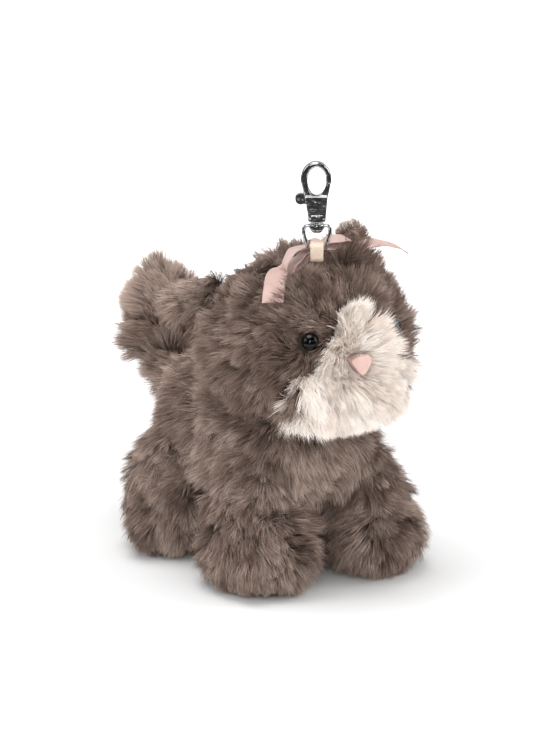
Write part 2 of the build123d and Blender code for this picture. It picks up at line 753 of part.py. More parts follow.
# ---- lobster clasp ----------------------------------------------------------------------------------
PIVOT = (-0.5, 17.3)               # rivet of the gate lever, in the clasp's face
PLATE_TOP = 20.8
PLATE_HALF_THICK = 2.2
HOOK_HALF_THICK = 1.5
SLOT_HALF = 1.2
LEVER_HALF_THICK = 1.1
NOSE_REACH = 9.3                   # the gate ends on this circle about its rivet
PIN_RADIUS = 0.8
OPENING_CENTRE = (-0.05, 26.1)
OPENING_HALF = (3.35, 5.3)
HOOK_CENTRE = (-0.3, 26.6)
HOOK_HALF = (5.35, 6.7)
HOOK_NECK_CENTRE = (-0.25, 19.5)
HOOK_NECK_RADIUS = 4.0
HOOK_ROUND = 0.6
COLLAR_RADIUS = 3.1
COLLAR_HEIGHT = 2.4
LIMB_CLEARANCE = 0.08              # air between the gate and the eye it closes
SWING_CLEARANCE = 0.12             # air past the end of the gate
PLATE = ((-3.0, 12.6), (3.1, 12.6), (3.8, PLATE_TOP), (-4.3, PLATE_TOP))
LEVER_SLOT = ((-9, 14.3), (2.35, 14.3), (2.35, 16.4), (7, 16.4), (7, 21.8), (-9, 21.8))
GATE_SPACE_LEFT = 1.0
GATE_LEFT = 0.6
ZONE_SIZE = 12                     # larger than the eye, so a zone takes in all of the limb


def hook_outline(half_thick, inset=0.0):
    """Egg-shaped eye of the hook, run through its thickness, with its opening cut out."""
    with BuildPart() as form:
        with BuildSketch(clasp_face):
            with Locations(HOOK_CENTRE):
                Ellipse(HOOK_HALF[0] - inset, HOOK_HALF[1] - inset)
            with Locations(HOOK_NECK_CENTRE):
                Circle(HOOK_NECK_RADIUS - inset)
            make_hull()
            with Locations(OPENING_CENTRE):
                Ellipse(OPENING_HALF[0] + inset, OPENING_HALF[1] + inset, mode=Mode.SUBTRACT)
        extrude(amount=half_thick, both=True)
    return form.part


def gate_zone(reach, half_thick, left):
    """Right-hand limb of the eye above the plate, inside a circle about the gate's rivet."""
    with BuildPart() as form:
        with BuildSketch(clasp_face):
            with Locations(PIVOT):
                Circle(reach)
            with Locations((left, PLATE_TOP)):
                Rectangle(ZONE_SIZE, ZONE_SIZE, align=(Align.MIN, Align.MIN), mode=Mode.INTERSECT)
        extrude(amount=half_thick, both=True)
    return form.part


hook_eye = hook_outline(HOOK_HALF_THICK)
gate_space = gate_zone(NOSE_REACH + SWING_CLEARANCE, 2 * PLATE_HALF_THICK, GATE_SPACE_LEFT)
gate_limb = hook_outline(LEVER_HALF_THICK, LIMB_CLEARANCE)
gate_cut = gate_zone(NOSE_REACH, LEVER_HALF_THICK, GATE_LEFT)

with BuildPart() as clasp_body:
    add(hook_eye)
    fillet(clasp_body.edges().filter_by(GeomType.LINE, reverse=True), HOOK_ROUND)
    with BuildSketch(clasp_face):
        with BuildLine():
            Polyline(*PLATE, close=True)
        make_face()
    extrude(amount=PLATE_HALF_THICK, both=True)
    with BuildSketch(Plane(clasp_origin).offset(COLLAR_BOTTOM)):
        Circle(COLLAR_RADIUS)
    extrude(amount=COLLAR_HEIGHT)
    with BuildSketch(clasp_face):
        with BuildLine():
            Polyline(*LEVER_SLOT, close=True)
        make_face()
    extrude(amount=SLOT_HALF, both=True, mode=Mode.SUBTRACT)
    add(gate_space, mode=Mode.SUBTRACT)
    with BuildSketch(clasp_face):
        with Locations(PIVOT):
            Circle(PIN_RADIUS + FIT)
    extrude(amount=2 * PLATE_HALF_THICK, both=True, mode=Mode.SUBTRACT)
    with BuildSketch(Plane(clasp_origin).offset(COLLAR_BOTTOM)):
        Circle(STEM_RADIUS + FIT)
    extrude(amount=STEM_TOP + FIT - COLLAR_BOTTOM, mode=Mode.SUBTRACT)
clasp_body.part.label = "clasp_body"
export_step(clasp_body.part, "parts/clasp_body.step")

# ---- gate lever: the sprung side of the eye, its hub and the thumb tab ------------------------------------
TAB_CENTRE = (-5.7, 19.6)
TAB_RADIUS = 2.0
LEVER_HUB = 1.7
LEVER_ARM = ((-1.4, 18.8), (1.2, 16.9), (3.3, 18.6), (3.7, 20.9), (2.0, 20.9), (0.6, 19.2))
LEVER_NECK = ((-0.9, 18.9), (-5.6, 21.2), (-5.6, 18.5), (-1.6, 16.4))
LEVER_HEEL = ((-1.2, 17), (0.3, 16), (0.3, 14.6), (-0.9, 14.6))

with BuildPart() as gate_lever:
    add(gate_limb)
    add(gate_cut, mode=Mode.INTERSECT)
    with BuildSketch(clasp_face):
        with Locations(PIVOT):
            Circle(LEVER_HUB)
        for outline in (LEVER_ARM, LEVER_NECK, LEVER_HEEL):
            with BuildLine():
                Polyline(*outline, close=True)
            make_face()
        with Locations(TAB_CENTRE):
            Circle(TAB_RADIUS)
        with Locations(PIVOT):
            Circle(PIN_RADIUS + 0.05, mode=Mode.SUBTRACT)
    extrude(amount=LEVER_HALF_THICK, both=True)
gate_lever.part.label = "gate_lever"
export_step(gate_lever.part, "parts/gate_lever.step")

# ---- rivet pin of the gate ------------------------------------------------------------------------------
PIN_HEAD_RADIUS = 1.5
PIN_HEAD = 0.35
GROOVE_RADII = (1.1, 0.6)
GROOVE = 0.12
pin_face = PLATE_HALF_THICK + FIT

with BuildPart() as gate_pin:
    with BuildSketch(clasp_face):
        with Locations(PIVOT):
            Circle(PIN_RADIUS)
    extrude(amount=pin_face + PIN_HEAD / 2, both=True)
    for head_plane in (clasp_face.offset(pin_face), clasp_face.offset(-pin_face - PIN_HEAD)):
        with BuildSketch(head_plane):
            with Locations(PIVOT):
                Circle(PIN_HEAD_RADIUS)
        extrude(amount=PIN_HEAD)
    with BuildSketch(clasp_face.offset(pin_face + PIN_HEAD - GROOVE)):
        with Locations(PIVOT):
            Circle(GROOVE_RADII[0])
            Circle(GROOVE_RADII[1], mode=Mode.SUBTRACT)
    extrude(amount=GROOVE, mode=Mode.SUBTRACT)
gate_pin.part.label = "gate_pin"
export_step(gate_pin.part, "parts/gate_pin.step")

# ---- gate spring: a short coil that pushes the lever's heel back ------------------------------------------
SPRING_RADIUS = 0.55
SPRING_WIRE = 0.14
SPRING_LENGTH = 1.6
SPRING_PITCH = 0.42
SPRING_SEAT = (0.49, 15.1, 0)      # where the coil meets the lever's heel
spring_start = clasp_face.from_local_coords(SPRING_SEAT)

with BuildPart() as gate_spring:
    with BuildLine() as coil:
        Helix(
            pitch=SPRING_PITCH, height=SPRING_LENGTH, radius=SPRING_RADIUS, center=spring_start,
            direction=ACROSS,
        )
    with BuildSketch(Plane(coil.line @ 0, z_dir=coil.line % 0)):
        Circle(SPRING_WIRE)
    sweep()
gate_spring.part.label = "gate_spring"
export_step(gate_spring.part, "parts/gate_spring.step")
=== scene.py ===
"""Plush kitten keychain: fur, cloth, ribbon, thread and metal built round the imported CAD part."""
import json
import math

import bpy
import numpy as np
from mathutils import Matrix, Vector, kdtree, noise

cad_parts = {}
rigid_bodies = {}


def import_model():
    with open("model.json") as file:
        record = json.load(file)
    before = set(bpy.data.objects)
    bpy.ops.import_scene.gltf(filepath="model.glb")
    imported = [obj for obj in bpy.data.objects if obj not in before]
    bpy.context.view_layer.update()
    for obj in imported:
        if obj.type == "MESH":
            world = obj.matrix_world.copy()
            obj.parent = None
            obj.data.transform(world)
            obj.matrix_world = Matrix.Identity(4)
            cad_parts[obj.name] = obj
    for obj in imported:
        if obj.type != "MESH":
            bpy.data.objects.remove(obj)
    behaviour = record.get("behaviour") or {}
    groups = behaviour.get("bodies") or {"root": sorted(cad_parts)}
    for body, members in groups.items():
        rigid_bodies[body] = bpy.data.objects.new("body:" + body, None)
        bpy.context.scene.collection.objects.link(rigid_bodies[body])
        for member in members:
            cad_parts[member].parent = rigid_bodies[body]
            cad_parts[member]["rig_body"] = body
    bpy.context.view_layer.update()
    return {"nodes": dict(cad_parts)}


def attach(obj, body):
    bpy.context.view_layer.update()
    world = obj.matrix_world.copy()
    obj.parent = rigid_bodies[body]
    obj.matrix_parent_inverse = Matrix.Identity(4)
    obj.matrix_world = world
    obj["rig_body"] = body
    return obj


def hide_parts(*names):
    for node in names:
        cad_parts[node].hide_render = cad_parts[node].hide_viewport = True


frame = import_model()
NODES = frame["nodes"]

# ---- driving dimensions, in millimetres ----------------------------------------------------------
MM = 0.001
UNDERCOAT = 3.4            # the dark backing sits this far inside the CAD cloth
SKIN_VOXEL = 1.3
STRANDS_PER_MM2 = 8.4
STRAND_WIDTH = 0.25
STRAND_POINTS = 5
MUZZLE_DENSITY = 1.9       # pale fur is this much denser
PALE_FUR_PAINTED_GLOW = 0.035           # painted glow of the white fur, standing in for light passed on from hair to hair
MOST_STRANDS = 28000       # in one piece
TUFT_SPACING = 8.0
CLUMP_SPACING = 2.1
FLOOR_CLEAR = 0.15

HEAD_CENTRE = np.array((0.0, -34.0, 89.5))
HEAD_HALF = np.array((36.5, 35.0, 30.0))
MUZZLE_CENTRE = np.array((0.0, -61.0, 75.5))
MUZZLE_HALF = np.array((25.0, 10.5, 14.5))
NOSE = np.array((0.0, -71.5, 86.0))
EYES = {"right": np.array((-17.5, -63.64, 96.4)), "left": np.array((17.5, -63.64, 96.4))}
TORSO_Z, TORSO_FLATTEN = 48.0, 0.85
CHEST_Y, RUMP_Y = -25.0, 14.0
TORSO_FRONT, TORSO_BACK = (28.0, 23.0), (29.0, 25.0)   # radius, reach of the rounded end
FRONT_LEG = (
    (-1.5, 25, -39, 7, 9), (4.5, 25, -39.5, 14, 17.5), (12, 25, -39.5, 17, 21),
    (23, 24, -37, 15, 17), (36, 21.5, -32, 14, 15.5), (48, 16, -28, 12, 13),
    (57, 11, -25, 8.5, 9.5),
)
REAR_LEG = (
    (-1.5, 25, 16, 7, 8), (4.5, 25, 16, 13, 15), (12, 25, 16, 15.5, 17.5),
    (23, 24, 16.5, 15, 17), (36, 21.5, 15.5, 14.5, 16.5), (48, 16, 13, 12, 14),
    (57, 11, 11, 8.5, 10),
)
TAIL = (
    (40.5, 51.0, 6.5), (46.8, 57.0, 8.8), (55.8, 63.5, 10.3), (60.2, 73.0, 11.5),
    (61.0, 83.0, 9.5), (61.0, 89.5, 5.5),
)
MUZZLE_REACH = 22.8
BELLY_CENTRE_Y, BELLY_HALF = -8.0, (12.0, 26.0)
BLAZE_TOP, BLAZE_TIP, BLAZE_BASE, BLAZE_BASE_Z = 107.0, 5.0, 16.5, 78.5
RIBBON_HALF = 4.0

rng = np.random.default_rng(20261116)
noise.seed_set(20261116)     # left alone, the seed is the time


# ---- small helpers -------------------------------------------------------------------------------
def linear(r, g, b):
    """Linear colour of a display colour given as 0 to 255."""
    def one(c):
        c = c / 255
        return c / 12.92 if c <= 0.04045 else ((c + 0.055) / 1.055) ** 2.4
    return (one(r), one(g), one(b), 1.0)


def unit(v):
    return v / np.maximum(np.linalg.norm(v, axis=-1, keepdims=True), 1e-9)


def smooth(x, low, high):
    t = np.clip((x - low) / (high - low), 0, 1)
    return t * t * (3 - 2 * t)


def new_object(name, verts, faces, material=None):
    """Mesh object from vertices in millimetres."""
    mesh = bpy.data.meshes.new(name)
    mesh.from_pydata((np.asarray(verts) * MM).tolist(), [], [list(map(int, f)) for f in faces])
    mesh.update()
    obj = bpy.data.objects.new(name, mesh)
    bpy.context.scene.collection.objects.link(obj)
    if material:
        mesh.materials.append(material)
    mesh.shade_smooth()
    return obj


def baked(obj):
    """Replaces an object's mesh by its mesh with every modifier applied."""
    graph = bpy.context.evaluated_depsgraph_get()
    mesh = bpy.data.meshes.new_from_object(obj.evaluated_get(graph))
    obj.modifiers.clear()
    obj.data = mesh
    return obj


def coordinates(mesh):
    co = np.zeros(len(mesh.vertices) * 3, np.float32)
    mesh.vertices.foreach_get("co", co)
    return co.reshape(-1, 3).astype(float) / MM


def set_coordinates(mesh, points):
    mesh.vertices.foreach_set("co", (points * MM).astype(np.float32).ravel())
    mesh.update()


def vertex_normals(mesh):
    n = np.zeros(len(mesh.vertices) * 3, np.float32)
    mesh.vertices.foreach_get("normal", n)
    return n.reshape(-1, 3).astype(float)


def noise_at(points, scale, seed=0.0):
    """Smooth noise of about -1 to 1 at points in millimetres."""
    shift = Vector((seed, seed * 1.7, seed * 2.3))
    return np.array([noise.noise(Vector(p) / scale + shift) for p in points])


def noise_vectors(points, scale, seed=0.0):
    shift = Vector((seed, seed * 1.7, seed * 2.3))
    return np.array([noise.noise_vector(Vector(p) / scale + shift) for p in points])


# ---- materials -----------------------------------------------------------------------------------
class Graph:
    """A new material's node tree with short calls for adding nodes."""

    def __init__(self, name):
        self.material = bpy.data.materials.new(name)
        self.material.use_nodes = True
        self.tree = self.material.node_tree
        self.tree.nodes.clear()
        self.surface = self.add("ShaderNodeBsdfPrincipled")
        output = self.add("ShaderNodeOutputMaterial")
        self.link(self.surface.outputs[0], output.inputs["Surface"])

    def add(self, kind, **values):
        node = self.tree.nodes.new(kind)
        for key, value in values.items():
            setattr(node, key, value)
        return node

    def link(self, a, b):
        self.tree.links.new(a, b)

    def put(self, **values):
        for key, value in values.items():
            self.surface.inputs[key.replace("_", " ")].default_value = value

    def ramp(self, source, stops):
        node = self.add("ShaderNodeValToRGB")
        elements = node.color_ramp.elements
        while len(elements) < len(stops):
            elements.new(0.5)
        for element, (place, colour) in zip(elements, stops):
            element.position = place
            element.color = colour
        self.link(source, node.inputs[0])
        return node.outputs[0]

    def noise(self, scale, detail=4.0, stretch=None):
        where = self.add("ShaderNodeTexCoord").outputs["Object"]
        if stretch:
            mapping = self.add("ShaderNodeMapping")
            mapping.inputs["Scale"].default_value = stretch
            self.link(where, mapping.inputs[0])
            where = mapping.outputs[0]
        node = self.add("ShaderNodeTexNoise")
        node.inputs["Scale"].default_value = scale
        node.inputs["Detail"].default_value = detail
        self.link(where, node.inputs["Vector"])
        return node.outputs[0]

    def range(self, source, low, high):
        node = self.add("ShaderNodeMapRange")
        node.inputs["To Min"].default_value = low
        node.inputs["To Max"].default_value = high
        self.link(source, node.inputs["Value"])
        return node.outputs[0]

    def bump(self, source, strength, distance):
        node = self.add("ShaderNodeBump")
        node.inputs["Strength"].default_value = strength
        node.inputs["Distance"].default_value = distance
        self.link(source, node.inputs["Height"])
        self.link(node.outputs[0], self.surface.inputs["Normal"])

    def colour(self, socket):
        self.link(socket, self.surface.inputs["Base Color"])

    def rough(self, socket):
        self.link(socket, self.surface.inputs["Roughness"])


def fur_material(name, dark, mid, light, root, middle):
    """Across the map runs a hair's own tone, and up it painted shade at the root giving way to a painted sunlit
    tip.
    """
    g = Graph(name)
    place = g.add("ShaderNodeUVMap", uv_map="OFBake")
    split = g.add("ShaderNodeSeparateXYZ")
    g.link(place.outputs[0], split.inputs[0])
    tone = g.ramp(split.outputs[0], ((0.0, dark), (0.5, mid), (1.0, light)))
    # painted shade darkens each hair towards its root, and painted light lifts its tip above the hair's own
    # colour
    shade = g.ramp(
        split.outputs[1],
        ((0.0, root), (0.5, middle), (0.85, (1, 1, 1, 1)), (1.0, (1.25, 1.24, 1.23, 1))),
    )
    mix = g.add("ShaderNodeMix", data_type="RGBA", blend_type="MULTIPLY")
    mix.inputs["Factor"].default_value = 1
    g.link(tone, mix.inputs["A"])
    g.link(shade, mix.inputs["B"])
    g.colour(mix.outputs["Result"])
    g.rough(g.range(split.outputs[1], 0.95, 0.72))
    g.put(Specular_IOR_Level=0.18)
    return g.material


def cloth_material(name, dark, light, scale=900, rough=(0.8, 0.98), bump=0.25):
    g = Graph(name)
    weave = g.noise(scale, 3)
    g.colour(g.ramp(weave, ((0.25, dark), (0.75, light))))
    g.rough(g.range(weave, *rough))
    g.bump(weave, bump, 0.0002)
    g.put(Specular_IOR_Level=0.2)
    return g.material


def satin_material(name, dark, light):
    g = Graph(name)
    wide = g.noise(160, 3)
    g.colour(g.ramp(wide, ((0.3, dark), (0.7, light))))
    fine = g.noise(1500, 2, (0.2, 1.0, 1.0))
    g.rough(g.range(fine, 0.34, 0.55))
    g.bump(fine, 0.2, 0.00008)
    g.put(Specular_IOR_Level=0.45, Sheen_Weight=0.25)
    return g.material


def metal_material(name, dark, light, rough):
    g = Graph(name)
    cloud = g.noise(260, 3)
    g.colour(g.ramp(cloud, ((0.3, dark), (0.7, light))))
    g.rough(g.range(cloud, *rough))
    g.bump(g.noise(520, 2), 0.5, 0.0003)
    g.put(Metallic=1.0)
    return g.material


def gloss_material(name, dark, light, rough):
    g = Graph(name)
    cloud = g.noise(420, 2)
    g.colour(g.ramp(cloud, ((0.3, dark), (0.7, light))))
    g.rough(g.range(cloud, *rough))
    g.bump(cloud, 0.02, 0.00005)
    g.put(Specular_IOR_Level=0.35)
    return g.material


# in both furs the last two colours are the painted shade at a hair's root and at its middle
TAUPE = fur_material(
    "fur_taupe", linear(108, 90, 81), linear(154, 133, 121), linear(206, 186, 174),
    (0.26, 0.23, 0.22, 1), (0.66, 0.64, 0.63, 1),
)
CREAM = fur_material(
    "fur_cream", linear(238, 226, 217), linear(248, 240, 233), linear(254, 250, 246),
    (0.84, 0.79, 0.75, 1), (0.95, 0.93, 0.91, 1),
)
# the cream fur gets a faint painted glow, standing in for light passed on from hair to hair
cream_painted_glow = CREAM.node_tree.nodes["Principled BSDF"].inputs
cream_painted_glow["Emission Color"].default_value = (1.0, 0.93, 0.87, 1)
cream_painted_glow["Emission Strength"].default_value = PALE_FUR_PAINTED_GLOW
BACKING = cloth_material("backing_taupe", linear(46, 38, 34), linear(70, 59, 53))
PALE_BACKING = cloth_material("backing_cream", linear(250, 241, 233), linear(254, 248, 243))
LINING = cloth_material("ear_lining_cloth", linear(222, 178, 166), linear(238, 202, 190), 1400)
FIBRE = cloth_material("fibre_fill", linear(222, 219, 213), linear(244, 242, 238), 500, (0.85, 1.0), 0.6)
SATIN = satin_material("pink_satin", linear(190, 157, 149), linear(208, 176, 167))
TAPE = cloth_material("beige_tape", linear(228, 206, 184), linear(252, 236, 218), 2200, (0.6, 0.8), 0.35)
THREAD = satin_material("pink_thread", linear(212, 176, 168), linear(232, 200, 192))
BROWN_THREAD = satin_material("brown_thread", linear(142, 108, 94), linear(170, 136, 120))
NICKEL = metal_material("nickel", linear(190, 190, 192), linear(216, 216, 218), (0.08, 0.20))
STEEL = metal_material("spring_steel", linear(150, 150, 152), linear(178, 178, 180), (0.2, 0.34))
EYE_BLACK = gloss_material("eye_black", linear(3, 3, 3), linear(10, 9, 9), (0.06, 0.14))
WASHER = gloss_material("washer_white", linear(214, 213, 210), linear(232, 231, 228), (0.35, 0.5))


# ---- closed forms under the fur ------------------------------------------------------------------
def rings_to_solid(rings):
    """Vertices and faces of a closed form through rings of equal count, with flat ends."""
    rings = np.asarray(rings)
    count, around = rings.shape[:2]
    faces = []
    for i in range(count - 1):
        a, b = i * around, (i + 1) * around
        for j in range(around):
            k = (j + 1) % around
            faces.append((a + j, a + k, b + k, b + j))
    faces.append(tuple(range(around))[::-1])
    faces.append(tuple((count - 1) * around + j for j in range(around)))
    return rings.reshape(-1, 3), faces


def ellipsoid_solid(centre, half, rows=28, around=44):
    up = np.linspace(-math.pi / 2 + 0.03, math.pi / 2 - 0.03, rows)
    turn = np.linspace(0, 2 * math.pi, around, endpoint=False)
    rings = [
        np.stack(
            (np.cos(u) * np.cos(turn), np.cos(u) * np.sin(turn), np.full(around, np.sin(u))), 1
        )
        for u in up
    ]
    return rings_to_solid(np.asarray(rings) * half + centre)


def torso_profile(y, grow):
    """Radius of the torso at a place along its length."""
    front, reach = TORSO_FRONT[0] + grow, TORSO_FRONT[1] + grow
    back, far = TORSO_BACK[0] + grow, TORSO_BACK[1] + grow
    middle = front + (back - front) * np.clip((y - CHEST_Y) / (RUMP_Y - CHEST_Y), 0, 1)
    bow = np.where(
        y < CHEST_Y, (CHEST_Y - y) / reach, np.where(y > RUMP_Y, (y - RUMP_Y) / far, 0)
    )
    return middle * np.sqrt(np.maximum(1 - bow ** 2, 0))


def torso_solid(grow):
    low, high = CHEST_Y - TORSO_FRONT[1] - grow + 0.05, RUMP_Y + TORSO_BACK[1] + grow - 0.05
    along = low + (high - low) * (1 - np.cos(np.linspace(0, math.pi, 40))) / 2
    turn = np.linspace(0, 2 * math.pi, 48, endpoint=False)
    rings = []
    for y in along:
        r = float(torso_profile(np.array(y), grow)) + 0.01
        rings.append(
            np.stack(
                (r * np.cos(turn), np.full(48, y), TORSO_Z - TORSO_FLATTEN * r * np.sin(turn)), 1
            )
        )
    return rings_to_solid(rings)


def leg_rows(sections, height):
    """Centre and half axes of a leg's level ellipse at heights, by smooth interpolation."""
    table = np.array(sections, float)
    slope = np.gradient(table[:, 1:], table[:, 0], axis=0)
    i = np.clip(np.searchsorted(table[:, 0], height) - 1, 0, len(table) - 2)
    step = (table[i + 1, 0] - table[i, 0])[:, None]
    t = np.clip((height[:, None] - table[i, 0][:, None]) / step, 0, 1)
    a, b = table[i, 1:], table[i + 1, 1:]
    return (
        (1 + 2 * t) * (1 - t) ** 2 * a + t * (1 - t) ** 2 * step * slope[i]
        + t * t * (3 - 2 * t) * b + t * t * (t - 1) * step * slope[i + 1]
    )


def leg_solid(sections, side, grow, lift=2.2):
    heights = np.linspace(lift, sections[-1][0], 34)
    rows = leg_rows(sections, heights - lift * 0.3)
    turn = np.linspace(0, 2 * math.pi, 40, endpoint=False)
    rings = [
        np.stack(
            (
                side * x + (a + grow) * np.cos(turn),
                y + (b + grow) * np.sin(turn),
                np.full(40, z),
            ),
            1,
        )
        for z, (x, y, a, b) in zip(heights, rows)
    ]
    return rings_to_solid(rings)


def tail_solid(grow):
    table = np.array(TAIL, float)
    t = np.linspace(0, len(table) - 1, 40)
    y, z, r = (np.interp(t, range(len(table)), table[:, c]) for c in range(3))
    for line in (y, z, r):
        line[1:-1] = (line[:-2] + 2 * line[1:-1] + line[2:]) / 4
    dy, dz = np.gradient(y), np.gradient(z)
    size = np.hypot(dy, dz)
    turn = np.linspace(0, 2 * math.pi, 32, endpoint=False)
    rings = []
    for k in range(40):
        radius = max(r[k] + grow, 0.8)
        normal = np.array((0.0, -dz[k] / size[k], dy[k] / size[k]))
        centre = np.array((0.0, y[k], z[k]))
        rings.append(
            centre
            + radius * (np.cos(turn)[:, None] * np.array((1.0, 0, 0)) + np.sin(turn)[:, None] * normal)
        )
    return rings_to_solid(rings)


def joined_skin(name, solids, voxel):
    """One smooth closed skin round several overlapping solids."""
    verts, faces, start = [], [], 0
    for v, f in solids:
        verts.append(v)
        faces += [tuple(i + start for i in face) for face in f]
        start += len(v)
    obj = new_object(name, np.concatenate(verts), faces)
    remesh = obj.modifiers.new("remesh", "REMESH")
    remesh.mode = "VOXEL"
    remesh.voxel_size = voxel * MM
    relax = obj.modifiers.new("relax", "SMOOTH")
    relax.factor = 0.5
    relax.iterations = 6
    return baked(obj)


# ---- which cloth a place belongs to --------------------------------------------------------------
def ellipsoid_depth(p, centre, half):
    return (np.linalg.norm((p - centre) / half, axis=1) - 1) * half.min()


def torso_depth(p):
    r = torso_profile(np.clip(p[:, 1], -47.9, 38.9), 0)
    return np.hypot(p[:, 0], (p[:, 2] - TORSO_Z) / TORSO_FLATTEN) - r


def leg_depth(p, sections, side):
    rows = leg_rows(sections, np.clip(p[:, 2], 0, sections[-1][0]))
    q = np.hypot(
        (p[:, 0] - side * rows[:, 0]) / rows[:, 2], (p[:, 1] - rows[:, 1]) / rows[:, 3]
    )
    above = np.maximum(p[:, 2] - sections[-1][0], 0)
    return (q - 1) * np.minimum(rows[:, 2], rows[:, 3]) + 3 * above


def blaze_share(p):
    """1 inside the pale blaze and muzzle area seen from the front, 0 outside."""
    t = np.clip((p[:, 2] - BLAZE_BASE_Z) / (BLAZE_TOP - BLAZE_TIP - BLAZE_BASE_Z), 0, 1)
    half = BLAZE_BASE + (BLAZE_TIP - BLAZE_BASE) * t ** 1.6
    beyond = np.maximum(p[:, 2] - (BLAZE_TOP - BLAZE_TIP), 0)
    reach = np.hypot(p[:, 0], beyond) - half
    return (reach < 0) & (p[:, 1] < -46) & (p[:, 2] > 66)


REGIONS = (
    "head", "muzzle", "torso", "front_right", "front_left", "rear_right", "rear_left",
)


def region_of(p):
    depth = np.stack(
        (
            ellipsoid_depth(p, HEAD_CENTRE, HEAD_HALF) - 0.3,
            ellipsoid_depth(p, MUZZLE_CENTRE, MUZZLE_HALF) - 0.6,
            torso_depth(p),
            leg_depth(p, FRONT_LEG, -1),
            leg_depth(p, FRONT_LEG, 1),
            leg_depth(p, REAR_LEG, -1),
            leg_depth(p, REAR_LEG, 1),
        ),
        1,
    )
    region = depth.argmin(1)
    region[(region == 1) & (np.abs(p[:, 0]) > MUZZLE_REACH)] = 0
    region[(region == 0) & blaze_share(p)] = 1
    return region


def cloth_node(p, region):
    """CAD node each place's fabric belongs to."""
    left = p[:, 0] > 0
    belly = (
        (p[:, 0] / BELLY_HALF[0]) ** 2 + ((p[:, 1] - BELLY_CENTRE_Y) / BELLY_HALF[1]) ** 2 < 1
    ) & (p[:, 2] < TORSO_Z)
    names = np.empty(len(p), object)
    names[:] = "muzzle_panel"
    names[(region == 0) & left] = "head_panel_left"
    names[(region == 0) & ~left] = "head_panel_right"
    names[(region == 2) & left] = "torso_panel_left"
    names[(region == 2) & ~left] = "torso_panel_right"
    names[(region == 2) & belly] = "belly_panel"
    for i, name in enumerate(("front_right", "front_left", "rear_right", "rear_left")):
        names[region == i + 3] = name + "_leg"
    return names


# ---- strands -------------------------------------------------------------------------------------
def sample_surface(mesh, per_mm2):
    """Evenly random places and smooth normals on a mesh."""
    mesh.calc_loop_triangles()
    tri = np.zeros(len(mesh.loop_triangles) * 3, np.int32)
    mesh.loop_triangles.foreach_get("vertices", tri)
    tri = tri.reshape(-1, 3)
    co, normal = coordinates(mesh), vertex_normals(mesh)
    a, b, c = co[tri[:, 0]], co[tri[:, 1]], co[tri[:, 2]]
    area = np.linalg.norm(np.cross(b - a, c - a), axis=1) / 2
    count = int(area.sum() * per_mm2)
    pick = rng.choice(len(tri), count, p=area / area.sum())
    u, v = rng.random(count), rng.random(count)
    flip = u + v > 1
    u[flip], v[flip] = 1 - u[flip], 1 - v[flip]
    w = 1 - u - v
    mixed = lambda t: t[tri[pick, 0]] * w[:, None] + t[tri[pick, 1]] * u[:, None] + t[tri[pick, 2]] * v[:, None]
    return mixed(co), unit(mixed(normal))


def nearest(guides, points):
    tree = kdtree.KDTree(len(guides))
    for i, g in enumerate(guides):
        tree.insert(Vector(g), i)
    tree.balance()
    return np.array([tree.find(Vector(p))[1] for p in points])


def thinned(points, spacing):
    """A subset with about one place in each cube of the spacing."""
    cell = np.floor(points / spacing).astype(int)
    return np.unique(cell, axis=0, return_index=True)[1]


def strand_curves(root, normal, flow, length, lean, droop, tone, curl=0.8, clump=0.44, stray=1.0):
    """Curves from root to tip, gathered into small clumps inside larger tufts."""
    tufts = thinned(root, TUFT_SPACING)
    clumps = thinned(root, CLUMP_SPACING)
    tuft_of = nearest(root[tufts], root[clumps])
    swirl = noise_vectors(root[tufts], 17.0, 3.1)[tuft_of] * 1.7
    swirl = swirl + noise_vectors(root[clumps], 6.0, 8.7) * 1.3
    swirl += rng.normal(0, 0.24, swirl.shape)
    calm = np.broadcast_to(stray, len(root))
    swirl *= calm[clumps][:, None]
    stretch = 1 + 0.16 * rng.normal(size=len(tufts))[tuft_of] + 0.10 * rng.normal(size=len(clumps))
    stretch = np.clip(stretch, 0.6, 1.35)
    rise = (0.22 * rng.normal(size=len(tufts)))[tuft_of] + 0.16 * rng.normal(size=len(clumps))
    own = nearest(root[clumps], root)

    def curve(start, n, f, reach, slope, sag, push, lift_by):
        across = f + push * 0.75
        across = unit(across - (across * n).sum(1, keepdims=True) * n)
        s = np.clip(slope + lift_by, 0.1, 1.45)[:, None]
        first = unit(n * np.cos(s * 0.55) + across * np.sin(s * 0.55))
        last = unit(n * np.cos(s * 1.25) + across * np.sin(s * 1.25) + sag[:, None] * np.array((0, 0, -1.0)))
        t = np.linspace(0, 1, STRAND_POINTS)[None, :, None]
        r = reach[:, None, None]
        return start[:, None, :] + r * (first[:, None, :] * t + (last - first)[:, None, :] * t * t / 2)

    guides = curve(
        root[clumps], normal[clumps], flow[clumps], length[clumps] * stretch * 1.04,
        lean[clumps], droop[clumps], swirl, rise,
    )
    each = curve(
        root, normal, flow + rng.normal(0, 0.30, root.shape),
        length * stretch[own] * rng.uniform(0.78, 1.08, len(root)), lean, droop, swirl[own],
        rise[own] + rng.normal(0, 0.17, len(root)),
    )
    t = np.linspace(0, 1, STRAND_POINTS)
    pull = (clump * rng.uniform(0.4, 1.35, len(root)))[:, None] * t[None, :] ** 1.25
    pull = np.clip(pull, 0, 0.93)[:, :, None]
    points = each * (1 - pull) + guides[own] * pull
    phase = rng.uniform(0, 2 * math.pi, len(root))[:, None]
    wave = curl * np.sin(phase + t[None, :] * 5.0) * t[None, :]
    side = unit(np.cross(normal, flow + 1e-3))
    points = points + wave[:, :, None] * side[:, None, :] * 0.55
    shade = tone + 0.13 * rng.normal(size=len(tufts))[tuft_of][own] + 0.15 * rng.normal(size=len(clumps))[own]
    return points, np.clip(shade + rng.normal(0, 0.13, len(root)), 0.02, 0.98)


